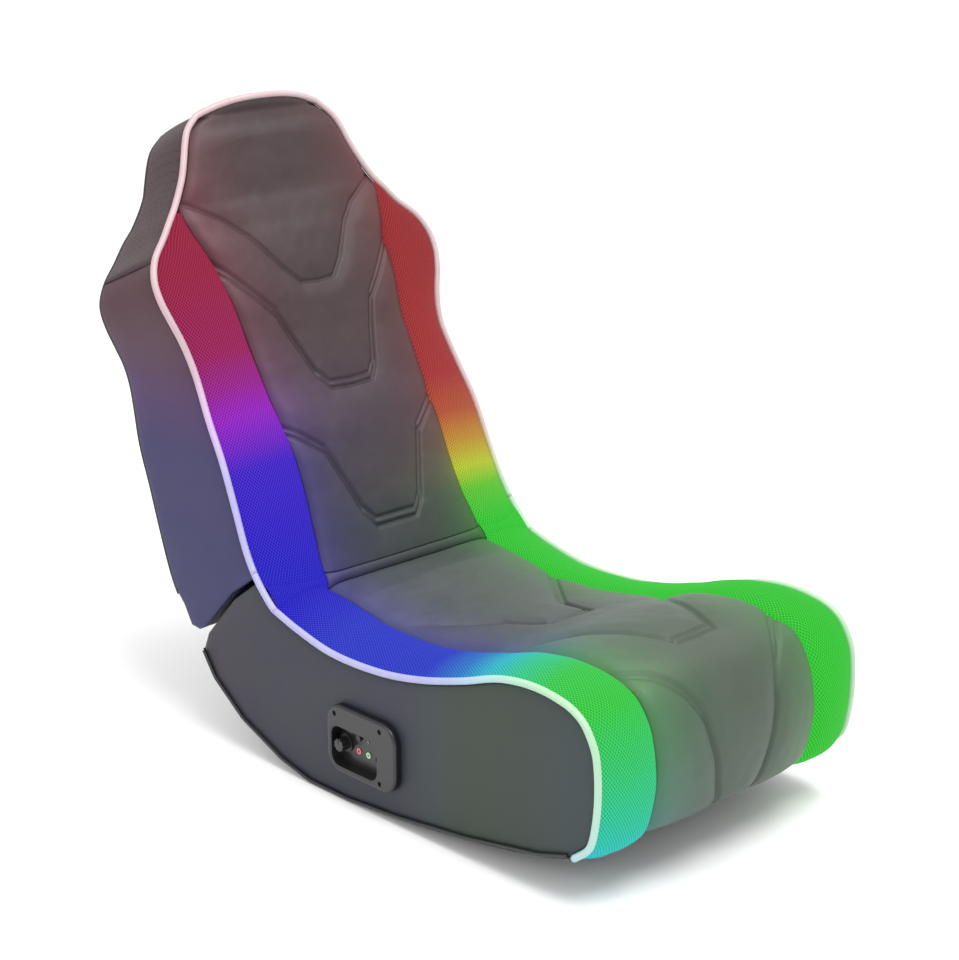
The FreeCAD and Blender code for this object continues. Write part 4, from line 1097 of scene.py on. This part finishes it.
@dataclass(frozen=True)
class Moulded(Finish):
    """Moulded plastic or rubber with a faint texture."""

    colour: Colour
    roughness: float = 0.4
    texture: float = 0.1
    coat: float = 0.0
    scale: float = 700.0

    def shade(self, shader: Shader) -> None:
        """Adds the finish's own nodes.

        Args:
            shader: the material under construction.
        """
        slow, fine = shader.noise(30.0, 3.0), shader.noise(self.scale, 3.0)
        colour = shader.mix(slow, (*(c * 0.88 for c in self.colour), 1), (*self.colour, 1))
        shader.surface(colour, shader.vary(self.roughness, slow, 0.12), (fine, self.texture, 0.0002),
                       Coat_Weight=self.coat)


@dataclass(frozen=True)
class Cord(Finish):
    """Piping cord in a smooth cover, tinted by the lights beside it."""

    colour: Colour
    tint: float = 0.30
    roughness: float = 0.45

    def shade(self, shader: Shader) -> None:
        """Adds the finish's own nodes.

        Args:
            shader: the material under construction.
        """
        slow = shader.noise(60.0, 3.0)
        colour = shader.mix(shader.vary(self.tint, slow, 0.2), (*self.colour, 1), strip_colour(shader))
        shader.surface(colour, shader.vary(self.roughness, slow, 0.1), (shader.noise(1200.0), 0.15, 0.0002))


@dataclass(frozen=True)
class Wood(Finish):
    """Bare plywood or softwood with its grain along X."""

    light: Colour
    dark: Colour
    roughness: float = 0.6

    def shade(self, shader: Shader) -> None:
        """Adds the finish's own nodes.

        Args:
            shader: the material under construction.
        """
        rings = shader.noise(3.0, 6.0, (3.0, 40.0, 40.0))
        colour = shader.mix(rings, (*self.dark, 1), (*self.light, 1))
        shader.surface(colour, shader.vary(self.roughness, rings, 0.2), (rings, 0.2, 0.0003))


@dataclass(frozen=True)
class Metal(Finish):
    """Plated or blackened steel with fine brushing."""

    colour: Colour
    roughness: float = 0.35

    def shade(self, shader: Shader) -> None:
        """Adds the finish's own nodes.

        Args:
            shader: the material under construction.
        """
        streaks = shader.noise(1.0, 3.0, (60.0, 900.0, 900.0))
        colour = shader.mix(streaks, (*(c * 0.8 for c in self.colour), 1), (*self.colour, 1))
        shader.surface(colour, shader.vary(self.roughness, streaks, 0.2), Metallic=1.0)


@dataclass(frozen=True)
class Flat(Finish):
    """A plain even surface."""

    grey: float
    roughness: float = 0.6

    def shade(self, shader: Shader) -> None:
        """Sets the finish's own values."""
        shader.surface((self.grey, self.grey, self.grey, 1), self.roughness)


# The chair's sub-assemblies

@dataclass
class Upholstery:
    """Centre cushions, mesh bolsters and the seams between them."""

    seat_channels: tuple[Channel, ...] = (
        Channel(((0.0, -60), (0.29, 55), (0.455, 145), (0.56, 172), (0.77, 205), (1.0, 232))),
        Channel(((0.0, 236), (0.24, 238), (0.36, 276), (0.60, 346), (0.80, 384), (1.0, 416))),
        Channel(((0.0, 436), (0.24, 438), (0.36, 506), (0.60, 548), (0.80, 584), (1.0, 616))),
    )
    back_channels: tuple[Channel, ...] = (
        Channel(((0.0, 34), (0.25, 34), (0.36, 52), (0.60, 142), (0.80, 166), (1.3, 220))),
        Channel(((0.0, 224), (0.25, 226), (0.36, 244), (0.60, 340), (0.80, 372), (1.3, 450))),
        Channel(((0.0, 378), (0.20, 380), (0.36, 404), (0.60, 454), (0.80, 482), (1.3, 528)), (0.0,), 4.0, 4.5),
    )
    seat_crown: float = 11.0
    back_crown: float = 9.0
    seat_depth: float = 38.0
    back_depth: float = 30.0
    # The seat and the back are one leatherette in lit and shaded copies: the seat's colour is painted lighter and the
    # back's darker, as painted light and shade.
    seat_lit_colour: Colour = (0.036, 0.036, 0.034)
    back_dye: Colour = (0.016, 0.013, 0.014)
    crease_lift: float = 2.8
    crease_count: int = 90

    def build(self) -> None:
        """Builds and dresses the pieces."""
        seat = Cushion("seat_centre", "seat_cushion", "base", SEAT, self.seat_channels, self.seat_crown,
                       self.seat_depth)
        back = Cushion("back_centre", "back_cushion", "back", BACK, self.back_channels, self.back_crown,
                       self.back_depth, arch=21.5, along=330, across=141)
        # The seat gets the lit copy of the colour and the back the shaded copy.
        for cushion, start, slot, painted_light_colour in ((seat, 0.0, "seat_upholstery", self.seat_lit_colour),
                                          (back, SEAT.total, "back_upholstery", self.back_dye)):
            piece = cushion.make()
            leather = Leatherette(slot, painted_light_colour, tint=0.03, edge_tint=0.11, run_start=start).make()
            paint(piece, leather)
            log.info("%s made", cushion.name)
        # The crease takes the back's leather, the darker copy painted with shade.
        self.crease("crease_centre", FACES["seat_centre"][-1], FACES["back_centre"][0], leather)
        meshes = {"seat": LitMesh("seat_mesh", 0.0).make(), "back": LitMesh("back_mesh", SEAT.total).make()}
        neck = float(BACK.run[STATION_STEPS * 14]) + 9.0
        for side in Side:
            for part, body, path, depth, stop in (("seat", "base", SEAT, self.seat_depth, SEAT.total),
                                                  ("back", "back", BACK, self.back_depth, neck)):
                piece = Bolster(part, body, path, side, depth, stop).make()
                paint(piece, meshes[part])
                log.info("%s bolster %s made", part, side.word)
            low, high = FACES["seat_mesh_" + side.word][-1], FACES["back_mesh_" + side.word][0]
            self.crease("crease_mesh_" + side.word, low, high, meshes["back"])

    def crease(self, name: str, low: Array, high: Array, material: Material) -> None:
        """Fabric over the fold, from the rear edge of a seat piece to the lower edge of the back piece above it.

        Args:
            name: the piece's name.
            low: points along the rear edge of the seat piece.
            high: points along the lower edge of the back piece.
            material: its finish.
        """
        share = np.linspace(0, 1, self.crease_count)
        ends = [np.column_stack([np.interp(share, np.linspace(0, 1, len(row)), column) for column in row.T])
                for row in (low, high)]
        chord = ends[1] - ends[0]
        lift = np.array([0, -0.85, 0.53]) * self.crease_lift
        grid = bridge(ends[0], ends[0] + chord / 3 + lift, ends[1] - chord / 3 + lift, ends[1], 9)
        rings = np.concatenate([grid, (grid + [0, 0.6, -0.3])[:, ::-1]], axis=1)
        cloth = np.stack([rings[..., 0], rings[..., 1] + rings[..., 2], 0 * rings[..., 0]], -1)
        obj = skin(name, rings, {"run": np.zeros(rings[..., 0].size), "cloth": cloth.reshape(-1, 3)})
        paint(obj, material)
        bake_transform(obj)


@dataclass
class Edges:
    """White piping and black welts."""

    piping_radius: float = 4.5
    welt_radius: float = 2.3
    stand: float = 0.5
    sink: float = 1.5
    welt_out: float = 2.1
    welt_up: float = 1.6
    welt_in: float = 2.6
    welt_behind: float = 1.4
    fold_count: int = 14
    outline: BackOutline = field(default_factory=lambda: BackOutline(17.7))

    def build(self) -> None:
        """Builds and dresses the cords."""
        white = Cord("white_piping", (0.43, 0.42, 0.43)).make()
        black = Moulded("black_welt", (0.012, 0.012, 0.014), 0.45, 0.2).make()
        x = SEAT_HALF + SIDE_STAND + self.stand
        run = np.append(np.arange(0, SEAT.total - 2, 4.0), SEAT.total)
        along = SEAT.place(run, -self.sink, x)
        around = self.outline.around(-SIDE_STAND - self.stand, self.sink)
        sole = np.array(SOLE_LINE)
        reach = run_along(sole)
        steps = np.arange(2, reach[-1], 6.0)
        under = np.column_stack([np.full(len(steps), x + self.welt_out), np.interp(steps, reach, sole[:, 0]),
                                 np.interp(steps, reach, sole[:, 1]) + self.welt_up])
        lead, tail = along[-1] - along[-3], around[2] - around[0]
        fold = bridge(along[-1], along[-1] + lead, around[0] - tail, around[0], self.fold_count)
        for side in Side:
            mirror = [side.value, 1, 1]
            piece = tube("seat_piping_%s_cord" % side.word, along * mirror, self.piping_radius, run=run)
            dress(piece, white, "white_piping", "base", "seat_piping_" + side.word)
            path = fold * mirror
            piece = tube("crease_cord_" + side.word, path, self.piping_radius,
                         run=np.full(self.fold_count, SEAT.total))
            paint(piece, white)
            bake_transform(piece)
            piece = tube("base_welt_%s_cord" % side.word, under * mirror, self.welt_radius, 8)
            dress(piece, black, "black_welt", "base", "base_welt_" + side.word)
        piece = tube("back_piping_cord", around, self.piping_radius, run=self.outline.run)
        dress(piece, white, "white_piping", "back", "back_piping")
        rear = self.outline.rows[:, DEEP] + self.welt_behind
        piece = tube("back_welt_cord", self.outline.around(self.welt_in - SIDE_STAND, rear), self.welt_radius, 8)
        dress(piece, black, "black_welt", "back", "back_welt")


@dataclass
class Shell:
    """Side panels, head gusset and rear cover."""

    panel_front: float = 6.5
    strip_thickness: float = 8.0
    strip_steps: int = 14
    rear_inset: float = 3.4
    rear_behind: float = 1.6
    rear_thickness: float = 3.0
    across: int = 41
    dish: tuple[float, ...] = (-62.0, 78.0, 92.0, 60.0, 17.0)
    under_line: tuple[tuple[float, float], ...] = ((193, 219.3), (224, 186.8), (255, 154.3), (268, 147.3), (281, 147.6))
    under_half: float = 225.0

    def build(self) -> None:
        """Builds and dresses the covers."""
        along_y, along_z = (1, 1.1, 0.47), (2, 0.72, 0.375)
        base_leather = Leatherette("side_leatherette_base", (0.013, 0.013, 0.014), tint=0.018, by_place=along_y).make()
        back_leather = Leatherette("side_leatherette_back", (0.013, 0.011, 0.013), tint=0.09, by_place=along_z).make()
        perforated = Leatherette("perforated_leatherette", (0.020, 0.016, 0.018), tint=0.05, by_place=along_z,
                                 hole_pitch=5.2).make()
        plain = Leatherette("plain_leatherette", (0.024, 0.024, 0.027)).make()
        collar = float(BACK.run[STATION_STEPS * 12])
        for side in Side:
            hole = dish_outline(*self.dish) if side is Side.RIGHT else None
            for name, body, line, opening, follows in (
                    ("base_side_cover_", "base", base_outline(), hole, False),
                    ("back_side_cover_", "back", back_side_outline(collar), None, True)):
                node = name + side.word
                piece = SidePanel(node + "_panel", node, body, side, line, opening, follows).make()
                paint(piece, back_leather if follows else base_leather)
            log.info("side panels %s made", side.word)
        self.head(perforated, collar)
        self.rear(plain)
        self.underside(plain)

    def head(self, material: Material, collar: float) -> None:
        """The strip round the head, from one side panel over the top to the other.

        Args:
            material: its finish.
            collar: distance up the back at which it starts.
        """
        outline = BackOutline(collar)
        deep = outline.rows[:, DEEP] - self.panel_front
        outer, inner = [], []
        for t in np.linspace(0, 1, self.strip_steps):
            swell = 2.0 * math.sin(math.pi * t) - 1.5 * (math.exp(-t * 30) + math.exp(-(1 - t) * 30))
            behind = self.panel_front + t * deep
            outer.append(outline.around(-SIDE_STAND - swell, behind))
            inner.append(outline.around(self.strip_thickness - SIDE_STAND, behind))
        obj = skin("head_gusset_strip", np.stack(outer + inner[::-1], 1))
        dress(obj, material, "perforated_leatherette", "back", "head_gusset_left", "head_gusset_right")

    def rear(self, material: Material) -> None:
        """The cover over the rear of the back, a little bowed.

        Args:
            material: its finish.
        """
        outline = BackOutline()
        share = np.linspace(1, -1, self.across)[:, None]
        grid = []
        for point, inward, row in zip(outline.points, outline.inward, outline.rows):
            edge = point + inward * (self.rear_inset - SIDE_STAND) + REARWARD * (row[DEEP] + self.rear_behind)
            bow = edge[0] / 45.0 * 1.4 * (1 - share**2)
            grid.append(np.where([True, False, False], edge * share, edge) + bow * REARWARD)
        grid = np.array([grid[0] + np.array([0.0, -17.0, -26.5])] + grid)
        obj = skin("back_rear_panel", np.concatenate([grid, (grid - REARWARD * self.rear_thickness)[:, ::-1]], axis=1))
        dress(obj, material, "plain_leatherette", "back", "back_rear_cover")

    def underside(self, material: Material) -> None:
        """The cover under the back, from the slope over the base to the rear cover.

        Args:
            material: its finish.
        """
        across = np.linspace(-self.under_half, self.under_half, self.across)
        grid = np.stack([np.column_stack([across, np.full(self.across, y), np.full(self.across, z)])
                         for y, z in self.under_line])
        grid[..., 2] += 0.8 * (1 - np.exp(-(self.under_half + 0.5 - np.abs(grid[..., 0])) / 12))
        obj = skin("back_underside", np.concatenate([grid, (grid + [1.5, 2.0, 2.4])[:, ::-1]], axis=1))
        dress(obj, material, "plain_leatherette", "back", "back_bottom_cover")


@dataclass
class Fittings:
    """The frame's own nodes that stay, each with its finish."""

    def build(self) -> None:
        """Dresses the nodes by their material slot."""
        finishes = (
            Moulded("light_strip", (0.75, 0.75, 0.8), 0.3),
            Leatherette("plain_leatherette_trim", (0.024, 0.024, 0.027)),
            Moulded("sole_fabric", (0.018, 0.018, 0.019), 0.85, 0.6, scale=1400.0),
            Wood("plywood", (0.52, 0.36, 0.20), (0.36, 0.22, 0.11)),
            Wood("timber", (0.58, 0.42, 0.24), (0.42, 0.27, 0.13)),
            Metal("hinge_steel", (0.58, 0.58, 0.6)), Metal("screw_steel", (0.10, 0.10, 0.11), 0.4),
            Moulded("panel_plastic", (0.008, 0.008, 0.010), 0.3, 0.05),
            Moulded("dish_plastic", (0.010, 0.010, 0.011), 0.3, 0.3),
            Moulded("knob_plastic", (0.014, 0.014, 0.015), 0.4, 0.2),
            Moulded("indicator", (0.10, 0.13, 0.11), 0.15, 0.0, 0.5),
            *(Moulded(name, colour, roughness) for name, colour, roughness in (
                ("speaker_steel", (0.012, 0.012, 0.012), 0.5), ("speaker_cone", (0.02, 0.02, 0.02), 0.7),
                ("button_plastic", (0.012, 0.012, 0.013), 0.3), ("red_jack", (0.66, 0.12, 0.13), 0.35),
                ("green_jack", (0.40, 0.62, 0.38), 0.35), ("socket_plastic", (0.012, 0.012, 0.012), 0.35),
                ("box_plastic", (0.03, 0.03, 0.03), 0.5), ("circuit_board", (0.02, 0.16, 0.06), 0.3))),
        )
        made = {finish.name.replace("_trim", ""): finish.make() for finish in finishes}
        for part in frame["record"]["subparts"]:
            node, slot = frame["nodes"][part["node"]], part["material_slot"]
            if slot in made and not node.hide_render:
                paint(node, made[slot])


@dataclass
class Studio:
    """Camera, floor and soft lights."""

    eye: tuple[float, float, float] = (-1.876, -1.981, 1.232)
    down: float = 17.576
    turn: float = 43.952
    lens: float = 82.5
    floor_reach: float = 30000.0
    world_strength: float = 1.06

    def build(self) -> None:
        """Sets up the view and the light."""
        camera = bpy.data.cameras.new("camera")
        camera.lens, camera.sensor_width = self.lens, 36.0
        obj = bpy.data.objects.new("camera", camera)
        bpy.context.collection.objects.link(obj)
        obj.location = self.eye
        obj.rotation_euler = (math.radians(90 - self.down), 0, math.radians(-self.turn))
        bpy.context.scene.camera = obj
        corners = np.array([(-1, -1, 0), (1, -1, 0), (1, 1, 0), (-1, 1, 0)]) * self.floor_reach
        floor = build("floor", corners, [(0, 1, 2, 3)])
        paint(floor, Flat("floor_white", 0.97).make())
        world = bpy.data.worlds.new("studio")
        world.use_nodes = True
        world.node_tree.nodes["Background"].inputs[0].default_value = (1, 1, 1, 1)
        world.node_tree.nodes["Background"].inputs[1].default_value = self.world_strength
        bpy.context.scene.world = world
        bpy.context.scene.view_settings.view_transform = "Standard"
        self.lamp("key", (-0.6, -1.6, 2.8), (0, -0.1, 0.2), 1.2, 45)
        self.lamp("side", (-2.6, 0.4, 1.4), (0, 0.1, 0.3), 1.0, 14)
        self.lamp("top", (0.5, -0.4, 2.9), (0, -0.1, 0.2), 1.4, 45)

    def lamp(self, name: str, place: tuple, aim: tuple, size: float, power: float) -> None:
        """Adds a square soft light aimed at a point.

        Args:
            name: the lamp's name.
            place: where it stands.
            aim: the point that it faces.
            size: length of its side.
            power: its strength in watts.
        """
        lamp = bpy.data.lights.new(name, "AREA")
        lamp.size, lamp.energy = size, power
        obj = bpy.data.objects.new(name, lamp)
        obj.location = place
        obj.rotation_euler = (Vector(aim) - Vector(place)).to_track_quat("-Z", "Y").to_euler()
        bpy.context.collection.objects.link(obj)


def main() -> None:
    """Builds the chair piece by piece."""
    logging.basicConfig(level=logging.INFO, format="%(name)s: %(message)s")
    for group in (grain_group, glow_group, net_group):
        group()
    for assembly in (Upholstery(), Edges(), Shell(), Fittings(), Studio()):
        assembly.build()
        log.info("%s done", type(assembly).__name__)


if __name__ == "__main__":
    main()
